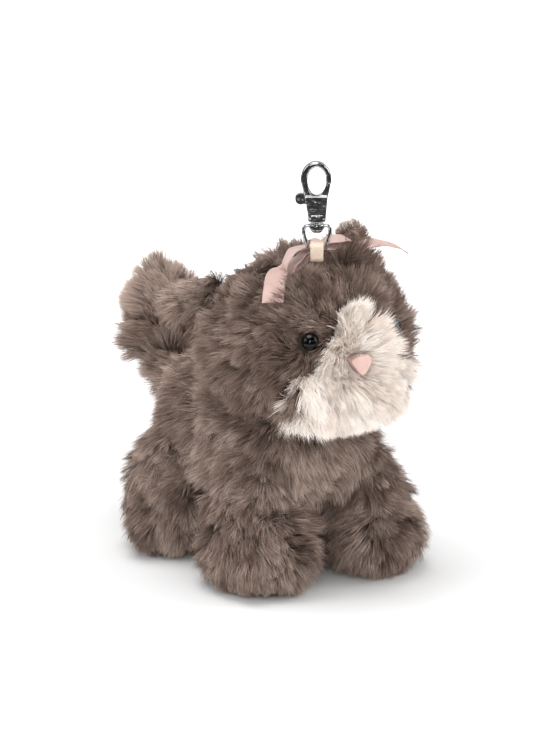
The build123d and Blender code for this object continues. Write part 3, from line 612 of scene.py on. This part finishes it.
def strand_mesh(name, points, normal, tone, width, material):
    """Flat tapering hairs as one mesh, with a map that holds each hair's tone and height."""
    count, steps = points.shape[:2]
    along = unit(np.gradient(points, axis=1))
    roll = rng.uniform(-0.9, 0.9, count)[:, None, None]
    flat = np.broadcast_to(normal[:, None, :], along.shape)
    side = unit(np.cross(along, flat))
    other = np.cross(along, side)
    side = side * np.cos(roll) + other * np.sin(roll)
    t = np.linspace(0, 1, steps)
    half = 0.5 * width[:, None] * (1 - 0.55 * t[None, :]) * np.where(t < 0.15, 0.8, 1.0)[None, :]
    left = points[:, :-1] - side[:, :-1] * half[:, :-1, None]
    right = points[:, :-1] + side[:, :-1] * half[:, :-1, None]
    body = np.stack((left, right), 2).reshape(count, -1, 3)
    verts = np.concatenate((body, points[:, -1:]), 1)
    verts[:, :, 2] = np.maximum(verts[:, :, 2], FLOOR_CLEAR)
    per = 2 * (steps - 1) + 1
    quads = np.array([(2 * k, 2 * k + 1, 2 * k + 3, 2 * k + 2) for k in range(steps - 2)])
    tip = np.array((2 * steps - 4, 2 * steps - 3, 2 * steps - 2))
    one = np.concatenate((quads.ravel(), tip))
    loops = (np.arange(count)[:, None] * per + one[None, :]).ravel()
    sizes = np.tile(np.array([4] * len(quads) + [3]), count)
    mesh = bpy.data.meshes.new(name)
    mesh.vertices.add(count * per)
    mesh.vertices.foreach_set("co", (verts * MM).astype(np.float32).ravel())
    mesh.loops.add(len(loops))
    mesh.loops.foreach_set("vertex_index", loops.astype(np.int32))
    mesh.polygons.add(len(sizes))
    mesh.polygons.foreach_set(
        "loop_start", np.concatenate(((0,), np.cumsum(sizes)[:-1])).astype(np.int32)
    )
    mesh.polygons.foreach_set("use_smooth", np.ones(len(sizes), bool))
    heights = np.concatenate((np.repeat(t[:-1], 2), (1.0,)))[one]
    offset = np.concatenate((np.tile((-0.006, 0.006), steps - 1), (0.0,)))[one]
    u = np.clip(tone, 0.02, 0.98)[:, None] + offset[None, :]
    v = np.broadcast_to(0.02 + 0.96 * heights, u.shape)
    layer = mesh.uv_layers.new(name="OFBake")
    layer.data.foreach_set("uv", np.stack((u, v), 2).astype(np.float32).ravel())
    mesh.update(calc_edges=True)
    mesh.validate()
    mesh.materials.append(material)
    obj = bpy.data.objects.new(name, mesh)
    bpy.context.scene.collection.objects.link(obj)
    return obj


def fur_pieces(name, points, normal, tone, width, material):
    """Strands as one piece, or as several numbered ones when they are many."""
    count = len(points)
    parts = -(-count // MOST_STRANDS)
    thick = width * rng.uniform(0.65, 1.3, count)
    made = []
    for i in range(parts):
        label = name if parts == 1 else f"{name}_{i + 1}"
        share = slice(i, None, parts)
        made.append(
            strand_mesh(label, points[share], normal[share], tone[share], thick[share], material)
        )
    return made


def segment_distance(p, a, b):
    a, b = np.asarray(a, float), np.asarray(b, float)
    t = np.clip(((p - a) @ (b - a)) / ((b - a) @ (b - a)), 0, 1)
    return np.linalg.norm(p - a - t[:, None] * (b - a), axis=1)


# ---- body fur ------------------------------------------------------------------------------------
body_solids = [
    ellipsoid_solid(HEAD_CENTRE, HEAD_HALF - UNDERCOAT),
    ellipsoid_solid(MUZZLE_CENTRE, MUZZLE_HALF - UNDERCOAT),
    torso_solid(-UNDERCOAT),
]
for side in (-1, 1):
    body_solids.append(leg_solid(FRONT_LEG, side, -UNDERCOAT))
    body_solids.append(leg_solid(REAR_LEG, side, -UNDERCOAT))
skin = joined_skin("body_skin", body_solids, SKIN_VOXEL)

# fur lies flat under the bow and the tape: two ends of a line and the reach round it
BOW_PRESS = (
    ((3, -36.7, 119.5), (-12, -38, 117.0), 5.5), ((3, -36.7, 119.5), (20, -36, 117.0), 5.0),
    ((-10, -38, 118.0), (-26, -49, 108.0), 5.5), ((20, -38, 118), (28, -42, 113.0), 4.0),
    ((-1.5, -44.5, 114), (-1.5, -44.5, 126), 5.5),
)
# and rises in a fringe before the loop on the kitten's left
FRINGE = ((5, -43, 115), (24, -43, 111), 4.6)


def body_fur(root, normal, region):
    """Flow, length, lean, droop and tone of the body's fur."""
    n = len(root)
    down = np.array((0, 0, -1.0))
    from_nose = unit(root - NOSE)
    flow = np.tile(down, (n, 1))
    head, muzzle, torso = region == 0, region == 1, region == 2
    flow[head] = from_nose[head] * 0.9 + down * 0.45
    beside = smooth(np.abs(root[:, 0]), 9, 21) * muzzle * (root[:, 2] < 90)
    flow[muzzle] = from_nose[muzzle] * (0.6 - 0.5 * beside[muzzle, None]) + np.array((0, -0.8, -0.15))
    flow[torso] = (0, 0.55, -0.85)
    low_side = muzzle & (np.abs(root[:, 0]) > 17) & (root[:, 2] < 73)
    flow[low_side] = (0, -0.6, -0.8)
    flow = unit(flow - (flow * normal).sum(1, keepdims=True) * normal)
    length = np.full(n, 10.6)
    lean = np.full(n, 1.06)
    droop = np.full(n, 0.18)
    tone = np.full(n, 0.48)
    length[head] = 9.6
    lean[head] = 0.92
    behind = torso & (root[:, 1] > 14)
    length[behind] = 8.6
    length[muzzle] = 10.2 - 4.0 * (1 - smooth(root[muzzle, 2], 64, 73))
    length += 2.0 * beside
    corner = beside * (1 - smooth(root[:, 2], 66, 73))
    length *= 1 - 0.35 * corner
    lean[muzzle] = 0.55 + 0.25 * beside[muzzle]
    droop[muzzle] = 0.02
    tone[muzzle] = 0.62
    crown = head & (root[:, 0] < -2) & (root[:, 1] > -38) & (root[:, 2] > 98)
    length[crown] *= 0.72
    lean[crown] = 1.15
    legs = region > 2
    length[legs] = 9.2
    low = legs & (root[:, 2] < 16)
    rise = root[low, 2] / 16
    ahead = np.clip(-normal[low, 1], 0, 1) * (1 - rise)
    length[low] *= (0.78 + 0.22 * rise) * (1 - 0.55 * ahead)
    lean[legs] = 1.06
    lean[low] = 1.05 + 0.30 * ahead
    droop[legs] = 0.20
    inward = legs & (normal[:, 0] * np.sign(root[:, 0]) < -0.3) & (root[:, 1] < -20) & (root[:, 2] < 30)
    length[inward] += 2.4
    lean[inward] -= 0.35
    under = root[:, 2] < 4.5
    length[under] *= 0.6
    # the one fur is painted darker on the head and lighter on the torso and legs: painted shade and painted
    # light
    tone[head] -= 0.14
    tone[torso] += 0.10
    tone[legs] += 0.07
    # fur is short and combed apart round each eye and round the nose
    for eye in EYES.values():
        away = root - eye
        gap = np.linalg.norm(away, axis=1)
        near = 1 - smooth(gap, 5.0, 10.0)
        inner = near * smooth(-away[:, 0] * np.sign(eye[0]), 3.4, 6.0)
        side = unit(away - (away * normal).sum(1, keepdims=True) * normal)
        flow = unit(flow + side * (near - inner)[:, None] * 2.4)
        length *= 1 - 0.74 * (near - inner) - 0.25 * inner
        lean += 0.30 * near - 0.35 * inner
    gap = np.linalg.norm((root - NOSE) * (1, 0.6, 1), axis=1)
    near = 1 - smooth(gap, 4.0, 9.0)
    length *= 1 - 0.42 * near
    for a, b, reach in BOW_PRESS:
        pressed = 1 - smooth(segment_distance(root, a, b), reach * 0.75, reach * 1.6)
        length *= 1 - 0.42 * pressed
        lean += 0.30 * pressed
    fringe = 1 - smooth(segment_distance(root, *FRINGE[:2]), FRINGE[2] * 0.6, FRINGE[2] * 1.3)
    flow = unit(flow * (1 - fringe[:, None]) + fringe[:, None] * np.array((0.1, -0.2, 1.0)))
    length += 3.6 * fringe
    lean -= 0.60 * fringe
    return flow, length, lean, droop, tone


root, normal = sample_surface(skin.data, STRANDS_PER_MM2 * MUZZLE_DENSITY)
region = region_of(root + normal * UNDERCOAT)
keep = (region == 1) | (rng.random(len(root)) < 1 / MUZZLE_DENSITY)
for eye in EYES.values():
    keep &= np.linalg.norm(root + normal * UNDERCOAT - eye, axis=1) > 4.2
over = root + normal * UNDERCOAT
nose_zone = (np.abs(over[:, 0]) < 3.6 * smooth(over[:, 2], 79.5, 87)) & (over[:, 2] > 80) & (over[:, 2] < 90)
keep &= ~(nose_zone & (over[:, 1] < -62))
keep &= root[:, 2] > 1.0
root, normal, region = root[keep], normal[keep], region[keep]
flow, length, lean, droop, tone = body_fur(root, normal, region)
calm = np.where(region > 2, 0.35 + 0.65 * smooth(root[:, 2], 8, 34), 1.0)
calm[region == 1] = 0.5
points, tone = strand_curves(root, normal, flow, length, lean, droop, tone, stray=calm)
owner = cloth_node(root + normal * UNDERCOAT, region)

skin_owner = cloth_node(
    (c := coordinates(skin.data)) + vertex_normals(skin.data) * UNDERCOAT,
    region_of(c + vertex_normals(skin.data) * UNDERCOAT),
)


def skin_piece(name, node, source, members):
    """The faces of a skin whose corners belong to one node, as that node's backing."""
    faces = [tuple(f.vertices) for f in source.data.polygons if members[f.vertices[0]]]
    used = sorted({v for f in faces for v in f})
    place = {v: i for i, v in enumerate(used)}
    co = coordinates(source.data)[used]
    backing = PALE_BACKING if node == "muzzle_panel" else BACKING
    obj = new_object(name, co, [tuple(place[v] for v in f) for f in faces], backing)
    wall = obj.modifiers.new("wall", "SOLIDIFY")
    wall.thickness = 0.5 * MM
    wall.offset = -1
    return baked(obj)


for node in sorted(set(owner)):
    material, slot = (CREAM, "fur_cream") if node == "muzzle_panel" else (TAUPE, "fur_taupe")
    backing = skin_piece(node + "_backing", node, skin, skin_owner == node)
    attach(backing, "plush")
    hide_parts(node)
    mine = owner == node
    for fur in fur_pieces(node + "_fur", points[mine], normal[mine], tone[mine], STRAND_WIDTH, material):
        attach(fur, "plush")
bpy.data.objects.remove(skin)


# ---- tail ----------------------------------------------------------------------------------------
tail_skin = joined_skin("tail_shell_backing", [tail_solid(-UNDERCOAT)], SKIN_VOXEL)
tail_skin.data.materials.append(BACKING)
tail_skin.data.shade_smooth()
root, normal = sample_surface(tail_skin.data, STRANDS_PER_MM2 * 1.7)
up = smooth(root[:, 2], 50, 76)[:, None]
flow = unit(np.array((0.0, 0.75, 0.65)) * (1 - up) + np.array((0.0, 0.1, 1.0)) * up)
flow = unit(flow - (flow * normal).sum(1, keepdims=True) * normal + normal * 0.02)
length = 11.0 - 2.2 * smooth(root[:, 2], 78, 89)
# the tail's hairs are painted lighter towards its top and darker low down: painted light and shade
points, tone = strand_curves(
    root, normal, flow, length, np.full(len(root), 0.74), np.full(len(root), 0.10),
    0.72 + 0.26 * smooth(root[:, 2], 60, 76), 1.0, 0.40,
)
tail_fur = fur_pieces("tail_shell_fur", points, normal, tone, STRAND_WIDTH, TAUPE)
for piece in (tail_skin, *tail_fur):
    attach(piece, "tail")
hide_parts("tail_shell")


# ---- ears ----------------------------------------------------------------------------------------
def soft_copy(node, name, body, material, voxel, shrink=0.0, lumps=0.0, lump_size=8.0, seed=1.0,
              relax_steps=3):
    """Soft stand-in for a CAD node: its own shape, remeshed, rounded and gently uneven."""
    obj = bpy.data.objects.new(name, NODES[node].data.copy())
    bpy.context.scene.collection.objects.link(obj)
    obj.data.materials.clear()
    remesh = obj.modifiers.new("remesh", "REMESH")
    remesh.mode = "VOXEL"
    remesh.voxel_size = voxel * MM
    relax = obj.modifiers.new("relax", "SMOOTH")
    relax.iterations = relax_steps
    baked(obj)
    co, normal = coordinates(obj.data), vertex_normals(obj.data)
    if lumps or shrink:
        bumps = lumps * noise_at(co, lump_size, seed)
        co = co + normal * (bumps - shrink)[:, None]
        set_coordinates(obj.data, co)
    obj.data.materials.clear()
    obj.data.materials.append(material)
    obj.data.shade_smooth()
    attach(obj, body)
    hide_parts(node)
    return obj


EAR_AXES = {
    "left": (np.array((21.14, -28.69, 116.3)), np.array((0.476, 0.13, 0.87)), np.array((0, -1.0, 0))),
    "right": (
        np.array((-25.93, -9.43, 100.92)), np.array((-0.638, 0.655, 0.407)),
        np.array((-0.574, -0.756, 0.317)),
    ),
}
EAR_HAIR = {"left": 5.6, "right": 8.6}
EAR_CROP = {"left": 0.35, "right": 0.0}     # how much shorter the fur is at the tip
EAR_FALL = {"left": 0.0, "right": 0.7}      # how far the ear's fur hangs
for hand, (hinge, tip, face) in EAR_AXES.items():
    body = "ear_" + hand
    back = soft_copy("ear_fur_" + hand, f"ear_{hand}_backing", body, BACKING, 0.45, 0.2)
    soft_copy(
        "ear_lining_" + hand, f"ear_{hand}_lining", body, LINING, 0.35, -0.1, 0.15, 4
    )
    root, normal = sample_surface(back.data, 12)
    keep = (normal @ face) > -0.25
    root, normal = root[keep], normal[keep]
    fall = tip + np.array((0, 0, -EAR_FALL[hand]))
    flow = unit(fall - (normal @ fall)[:, None] * normal + normal * 0.01)
    count = len(root)
    out = smooth((root - hinge) @ tip, 1.0, 8.0)
    upper = smooth(normal[:, 2], 0.2, 0.8) * (1 - out)
    points, tone = strand_curves(
        root, normal, flow, EAR_HAIR[hand] * (1 - 0.45 * upper - EAR_CROP[hand] * out),
        np.full(count, 0.70),
        np.full(count, 0.15 + 0.3 * EAR_FALL[hand]), 0.62 + 0.36 * out, 0.9, 0.34, 0.6,
    )
    for fur in fur_pieces(f"ear_{hand}_fur", points, normal, tone, STRAND_WIDTH, TAUPE):
        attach(fur, body)


# ---- fibre fill ----------------------------------------------------------------------------------
for i, node in enumerate(sorted(n for n in NODES if n.endswith("_stuffing"))):
    body = NODES[node]["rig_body"]
    shrink = 1.9 if node != "tail_stuffing" else 1.2
    soft_copy(node, node + "_fill", body, FIBRE, 1.6, shrink, 0.7, 7.0, 1.0 + i)


# ---- bow and strap -------------------------------------------------------------------------------
def spline(points, count):
    """Evenly spaced places on a smooth curve through points."""
    p = np.asarray(points, float)
    p = np.concatenate((2 * p[:1] - p[1:2], p, 2 * p[-1:] - p[-2:-1]))
    t = np.linspace(0, len(p) - 3 - 1e-6, 16 * len(p))
    i = t.astype(int)
    f = (t - i)[:, None]
    a, b, c, d = p[i], p[i + 1], p[i + 2], p[i + 3]
    q = 0.5 * (2 * b + (c - a) * f + (2 * a - 5 * b + 4 * c - d) * f ** 2 + (3 * b - a - 3 * c + d) * f ** 3)
    reach = np.concatenate(((0,), np.cumsum(np.linalg.norm(np.diff(q, axis=0), axis=1))))
    even = np.linspace(0, reach[-1], count)
    return np.stack([np.interp(even, reach, q[:, k]) for k in range(3)], 1), even


def ribbon(name, path, across, half_width, knots, point=0.0, count=64):
    """Thin satin strip along a path, pleated towards the knots and rolled a little at its edges."""
    line, reach = spline(path, count)
    total = reach[-1]
    along = unit(np.gradient(line, axis=0))
    wide = np.asarray(across, float)
    wide = np.broadcast_to(wide, line.shape) if wide.ndim == 1 else wide
    wide = unit(wide - (wide * along).sum(1, keepdims=True) * along)
    up = np.cross(along, wide)
    gather = np.zeros(count)
    if "start" in knots:
        gather = np.maximum(gather, 1 - smooth(reach, 0.5, 8.0))
    if "end" in knots:
        gather = np.maximum(gather, 1 - smooth(total - reach, 0.5, 8.0))
    side = np.linspace(-1, 1, 17)
    half = half_width * (1 - 0.48 * gather)
    grid = []
    for k in range(count):
        left, right = -half[k], half[k]
        if point and reach[k] > total - point:
            right = half[k] - (2 * half[k] - 0.3) * (reach[k] - total + point) / point
        s = left + (right - left) * (side + 1) / 2
        pleat = 0.42 * gather[k] * np.cos(side * 8.5) + 0.10 * np.sin(reach[k] * 0.9 + side * 2.1)
        roll = 0.16 * side ** 4
        grid.append(line[k] + s[:, None] * wide[k] + (pleat + roll)[:, None] * up[k])
    verts = np.concatenate(grid)
    w = len(side)
    faces = [
        (k * w + j, k * w + j + 1, (k + 1) * w + j + 1, (k + 1) * w + j)
        for k in range(count - 1) for j in range(w - 1)
    ]
    obj = new_object(name, verts, faces, SATIN)
    wall = obj.modifiers.new("cloth", "SOLIDIFY")
    wall.thickness = 0.32 * MM
    wall.offset = 0
    bevel = obj.modifiers.new("edge", "BEVEL")
    bevel.width = 0.09 * MM
    bevel.segments = 2
    baked(obj)
    obj.data.shade_smooth()
    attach(obj, "plush")
    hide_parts("bow_ribbon")
    return obj


def on_head(x, y, lift):
    """Place above the head cloth."""
    q = 1 - ((x - HEAD_CENTRE[0]) / HEAD_HALF[0]) ** 2 - ((y - HEAD_CENTRE[1]) / HEAD_HALF[1]) ** 2
    return (x, y, HEAD_CENTRE[2] + HEAD_HALF[2] * q ** 0.5 + lift)


ribbon(
    "bow_loop_right",
    ((2, -36.2, 122.6), (-3.5, -36.6, 122.9), (-8.0, -38.8, 122.9), (-12.2, -41.2, 121.4),
     (-14.6, -42.6, 118.8), (-13.4, -42.4, 117.0), (-9.4, -40.6, 118.2), (-4, -38.0, 120.2),
     (2, -36.4, 121.4)),
    (0.34, 0.90, -0.1), 3.3, ("start", "end"),
)
ribbon(
    "bow_loop_left",
    ((4, -36.4, 122.6), (9, -36.2, 123.4), (14, -35.8, 123.2), (17.8, -35.4, 122.0),
     (18.2, -35.4, 120.6), (14, -35.6, 120.0), (9, -36.0, 120.4), (4, -36.4, 121.2)),
    (-0.15, 0.97, 0.15), 3.6, ("start", "end"),
)
drape = [on_head(x, y, lift) for x, y, lift in (
    (1, -36.6, 1.0), (-6, -37.8, -0.8), (-12, -40.0, -0.4), (-17.4, -42.6, 2.2), (-21.2, -46.4, 3.0),
    (-24.8, -50.4, 2.4),
)]
line, _ = spline(drape, 64)
outward = unit((line - HEAD_CENTRE) / HEAD_HALF ** 2)
ribbon(
    "bow_tail_right", drape, np.cross(unit(np.gradient(line, axis=0)), outward), RIBBON_HALF, ("start",)
)
ribbon(
    "bow_tail_left",
    ((4, -36.4, 121.3), (11, -37.2, 120.6), (18, -39.0, 120.2), (25, -42.2, 121.4),
     (30.5, -45.2, 120.7), (34.6, -47.4, 118.4)),
    (0.375, 0.927, 0.1), RIBBON_HALF, ("start",), 13.0,
)
soft_copy("bow_knot", "bow_knot_satin", "plush", SATIN, 0.25, 0.0, 0.18, 1.4)


def tube(name, lines, radius, material, sides=7, flatten=1.0):
    """One mesh of many threads, each a closed tube along its own line."""
    verts, faces = [], []
    turn = np.linspace(0, 2 * math.pi, sides, endpoint=False)
    for line in lines:
        line = np.asarray(line)
        along = unit(np.gradient(line, axis=0))
        ref = np.where(np.abs(along[:, :1]) > 0.9, np.array((0, 0, 1.0)), np.array((1.0, 0, 0)))
        a = unit(np.cross(along, ref))
        b = np.cross(along, a)
        taper = np.ones(len(line))
        taper[0] = taper[-1] = 0.45
        start = len(verts)
        for p, u, v, k in zip(line, a, b, taper):
            for w in turn:
                verts.append(p + radius * k * (math.cos(w) * u * flatten + math.sin(w) * v))
        for i in range(len(line) - 1):
            for j in range(sides):
                m, n = start + i * sides, start + (i + 1) * sides
                faces.append((m + j, m + (j + 1) % sides, n + (j + 1) % sides, n + j))
        faces.append(tuple(start + j for j in range(sides))[::-1])
        faces.append(tuple(start + (len(line) - 1) * sides + j for j in range(sides)))
    return new_object(name, verts, faces, material)


# ---- nose: upright satin stitches over a small pad -----------------------------------------------
NOSE_HALF_WIDTH, NOSE_TOP, NOSE_BOTTOM, NOSE_SHOULDER = 4.0, 90.6, 82.6, 87.6
MOUTH_SINK = np.array((0, 3.0, 0.3))     # the pulled thread lies down in the pile


def nose_front(x, z):
    """y of the padded nose's surface."""
    dome = (1 - (x / 5.2) ** 2) * (1 - ((z - 86.6) / 6.4) ** 2)
    return -69.7 - 2.1 * np.maximum(dome, 0)


stitches = []
for x in np.arange(-3.85, 3.86, 0.33):
    share = abs(x) / NOSE_HALF_WIDTH
    top = NOSE_TOP - 1.6 * share ** 3
    bottom = NOSE_BOTTOM + (NOSE_SHOULDER - NOSE_BOTTOM) * share ** 1.15
    z = np.linspace(top, bottom, 14)
    z += 0.12 * rng.normal()
    x_line = np.full(14, x) * (1 - 0.10 * (top - z) / 9)
    y_line = nose_front(x_line, z)
    y_line[0] += 1.2
    y_line[-1] += 1.2
    stitches.append(np.stack((x_line, y_line, z), 1))
nose = tube("nose_satin_stitch", stitches, 0.27, THREAD)
rows = []
for y_back, grow in ((0.15, 0.0), (1.5, 0.25), (5.0, 0.3)):
    turn = np.linspace(0, 2 * math.pi, 48, endpoint=False)
    ring = []
    for w in turn:
        c, d = math.cos(w), math.sin(w)
        x = (NOSE_HALF_WIDTH - 0.35 + grow) * c
        share = min(abs(x) / NOSE_HALF_WIDTH, 1)
        top = NOSE_TOP - 0.4 - 1.6 * share ** 3
        bottom = NOSE_BOTTOM + 0.4 + (NOSE_SHOULDER - NOSE_BOTTOM) * share ** 1.15
        mid, half = (top + bottom) / 2, max((top - bottom) / 2, 0.1)
        z = mid + math.copysign(abs(d) ** 0.6, d) * half
        ring.append((x, float(nose_front(x, z)) + y_back, z))
    rows.append(ring)
pad_verts, pad_faces = rings_to_solid(rows)
pad = new_object("nose_pad", pad_verts, pad_faces, THREAD)
for piece in (nose, pad):
    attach(piece, "plush")
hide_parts("nose_embroidery")

mouth = soft_copy("mouth_stitch", "mouth_thread", "plush", BROWN_THREAD, 0.18)
set_coordinates(mouth.data, coordinates(mouth.data) + MOUTH_SINK)
soft_copy("strap_loop", "strap_loop_tape", "strap", TAPE, 0.24, 0.0, 0.04, 2.0)


# ---- eyes, strap stitching, ring, gate and spring keep their CAD shape; clasp body and swivel post are rounded ---
CAST_SWELL = -0.06          # makes up for what the rounding takes off
CAST = {
    "clasp_body": ("clasp", 0.11, 10),
    "swivel_post": ("clasp", 0.12, 4),
}
for node, (body, voxel, rounding) in CAST.items():
    soft_copy(node, node + "_cast", body, NICKEL, voxel, CAST_SWELL, relax_steps=rounding)

PLAIN = {
    "strap_stitching": (TAPE, "beige_tape"),
    "eye_bead_left": (EYE_BLACK, "eye_black"),
    "eye_bead_right": (EYE_BLACK, "eye_black"),
    "eye_washer_left": (WASHER, "washer_white"),
    "eye_washer_right": (WASHER, "washer_white"),
    "swivel_ring": (NICKEL, "nickel"),
    "gate_lever": (NICKEL, "nickel"),
    "gate_pin": (NICKEL, "nickel"),
    "gate_spring": (STEEL, "spring_steel"),
}
for node, (material, slot) in PLAIN.items():
    NODES[node].data.materials.clear()
    NODES[node].data.materials.append(material)


# ---- floor, light and camera ---------------------------------------------------------------------
glow = Graph("studio_floor_far")
FLOOR = glow.material
away = glow.add("ShaderNodeTexCoord").outputs["Object"]
reach = glow.add("ShaderNodeVectorMath", operation="LENGTH")
glow.link(away, reach.inputs[0])
ring = glow.add("ShaderNodeMapRange", interpolation_type="SMOOTHSTEP")
for key, value in (("From Min", 0.12), ("From Max", 0.45), ("To Min", 0.0), ("To Max", 0.6)):
    ring.inputs[key].default_value = value
glow.link(reach.outputs["Value"], ring.inputs["Value"])
path = glow.add("ShaderNodeLightPath")
unseen = glow.add("ShaderNodeMath", operation="SUBTRACT")
unseen.inputs[0].default_value = 1.0
glow.link(path.outputs["Is Glossy Ray"], unseen.inputs[1])
strength = glow.add("ShaderNodeMath", operation="MULTIPLY")
glow.link(ring.outputs[0], strength.inputs[0])
glow.link(unseen.outputs[0], strength.inputs[1])
glow.link(strength.outputs[0], glow.surface.inputs["Emission Strength"])
# in reflections alone the floor is painted near black round the kitten with a bright ring 0.2 to 0.32 m out:
# painted reflections for the metal
tint = glow.add("ShaderNodeMix", data_type="RGBA")
tint.inputs["A"].default_value = (0.9, 0.9, 0.9, 1)
painted_reflection_bands = glow.ramp(
    reach.outputs["Value"],
    ((0.08, (0.03, 0.03, 0.03, 1)), (0.2, (0.9, 0.9, 0.9, 1)), (0.32, (0.9, 0.9, 0.9, 1)), (0.42, (0.03, 0.03, 0.03, 1))),
)
glow.link(painted_reflection_bands, tint.inputs["B"])
glow.link(path.outputs["Is Glossy Ray"], tint.inputs["Factor"])
glow.colour(tint.outputs["Result"])
glow.put(Roughness=1.0, Specular_IOR_Level=0.0, Emission_Color=(1, 1, 1, 1))
floor = new_object(
    "studio_floor", [(-4000, -4000, 0), (4000, -4000, 0), (4000, 4000, 0), (-4000, 4000, 0)],
    [(0, 1, 2, 3)], FLOOR,
)

AZIMUTH, ELEVATION, RANGE = math.radians(-33), math.radians(16.5), 4.0
CAMERA_SIDE = Vector(
    (math.sin(AZIMUTH) * math.cos(ELEVATION), -math.cos(AZIMUTH) * math.cos(ELEVATION), math.sin(ELEVATION))
)
scene = bpy.context.scene
world = bpy.data.worlds.new("studio")
scene.world = world
world.use_nodes = True
tree = world.node_tree
background = tree.nodes["Background"]
background.inputs["Color"].default_value = (1, 1, 1, 1)
# the camera sees white, cloth gets an even fill, and polished parts mirror a room dark on the camera's side
seen = tree.nodes.new("ShaderNodeLightPath")
facing = tree.nodes.new("ShaderNodeTexCoord")
toward = tree.nodes.new("ShaderNodeVectorMath")
toward.operation = "DOT_PRODUCT"
toward.inputs[1].default_value = CAMERA_SIDE
room = tree.nodes.new("ShaderNodeMapRange")
room.interpolation_type = "SMOOTHSTEP"
room.inputs["From Min"].default_value = -0.35
room.inputs["From Max"].default_value = 0.70
room.inputs["To Min"].default_value = 0.62
room.inputs["To Max"].default_value = 0.03
tree.links.new(facing.outputs["Generated"], toward.inputs[0])
tree.links.new(toward.outputs["Value"], room.inputs["Value"])
fill = tree.nodes.new("ShaderNodeMix")
fill.inputs["A"].default_value = 0.62
tree.links.new(seen.outputs["Is Glossy Ray"], fill.inputs["Factor"])
tree.links.new(room.outputs[0], fill.inputs["B"])
power = tree.nodes.new("ShaderNodeMix")
power.inputs["B"].default_value = 1.0
tree.links.new(seen.outputs["Is Camera Ray"], power.inputs["Factor"])
tree.links.new(fill.outputs["Result"], power.inputs["A"])
tree.links.new(power.outputs["Result"], background.inputs["Strength"])


def softbox(name, place, size, watts):
    data = bpy.data.lights.new(name, "AREA")
    data.shape = "DISK"
    data.size = size
    data.energy = watts
    obj = bpy.data.objects.new(name, data)
    scene.collection.objects.link(obj)
    obj.location = place
    obj.rotation_euler = (Vector((0, 0, 0.06)) - Vector(place)).to_track_quat("-Z", "Y").to_euler()


softbox("sparkle_left", (-0.9, -1.2, 0.25), 0.16, 0.8)
softbox("sparkle_right", (0.25, -1.4, 0.75), 0.16, 0.8)
softbox("overhead", (-0.15, 0.10, 1.3), 1.0, 9.0)
softbox("side_left", (-1.2, 0.35, 0.75), 0.8, 3.2)
softbox("front_left", (-0.7, -1.1, 0.7), 0.6, 4.0)
softbox("front_right", (1.0, -0.6, 0.6), 0.8, 5.0)

camera_data = bpy.data.cameras.new("camera")
camera_data.sensor_fit = "VERTICAL"
camera_data.sensor_height = 36.0
camera_data.sensor_width = 36.0
camera_data.lens = 536.0
camera_data.clip_start = 0.01
camera = bpy.data.objects.new("camera", camera_data)
scene.collection.objects.link(camera)
TARGET = Vector((1.5, -6.0, 67.6)) * MM
camera.location = TARGET + CAMERA_SIDE * RANGE
camera.rotation_euler = (-CAMERA_SIDE).to_track_quat("-Z", "Y").to_euler()
scene.camera = camera
scene.view_settings.view_transform = "Standard"
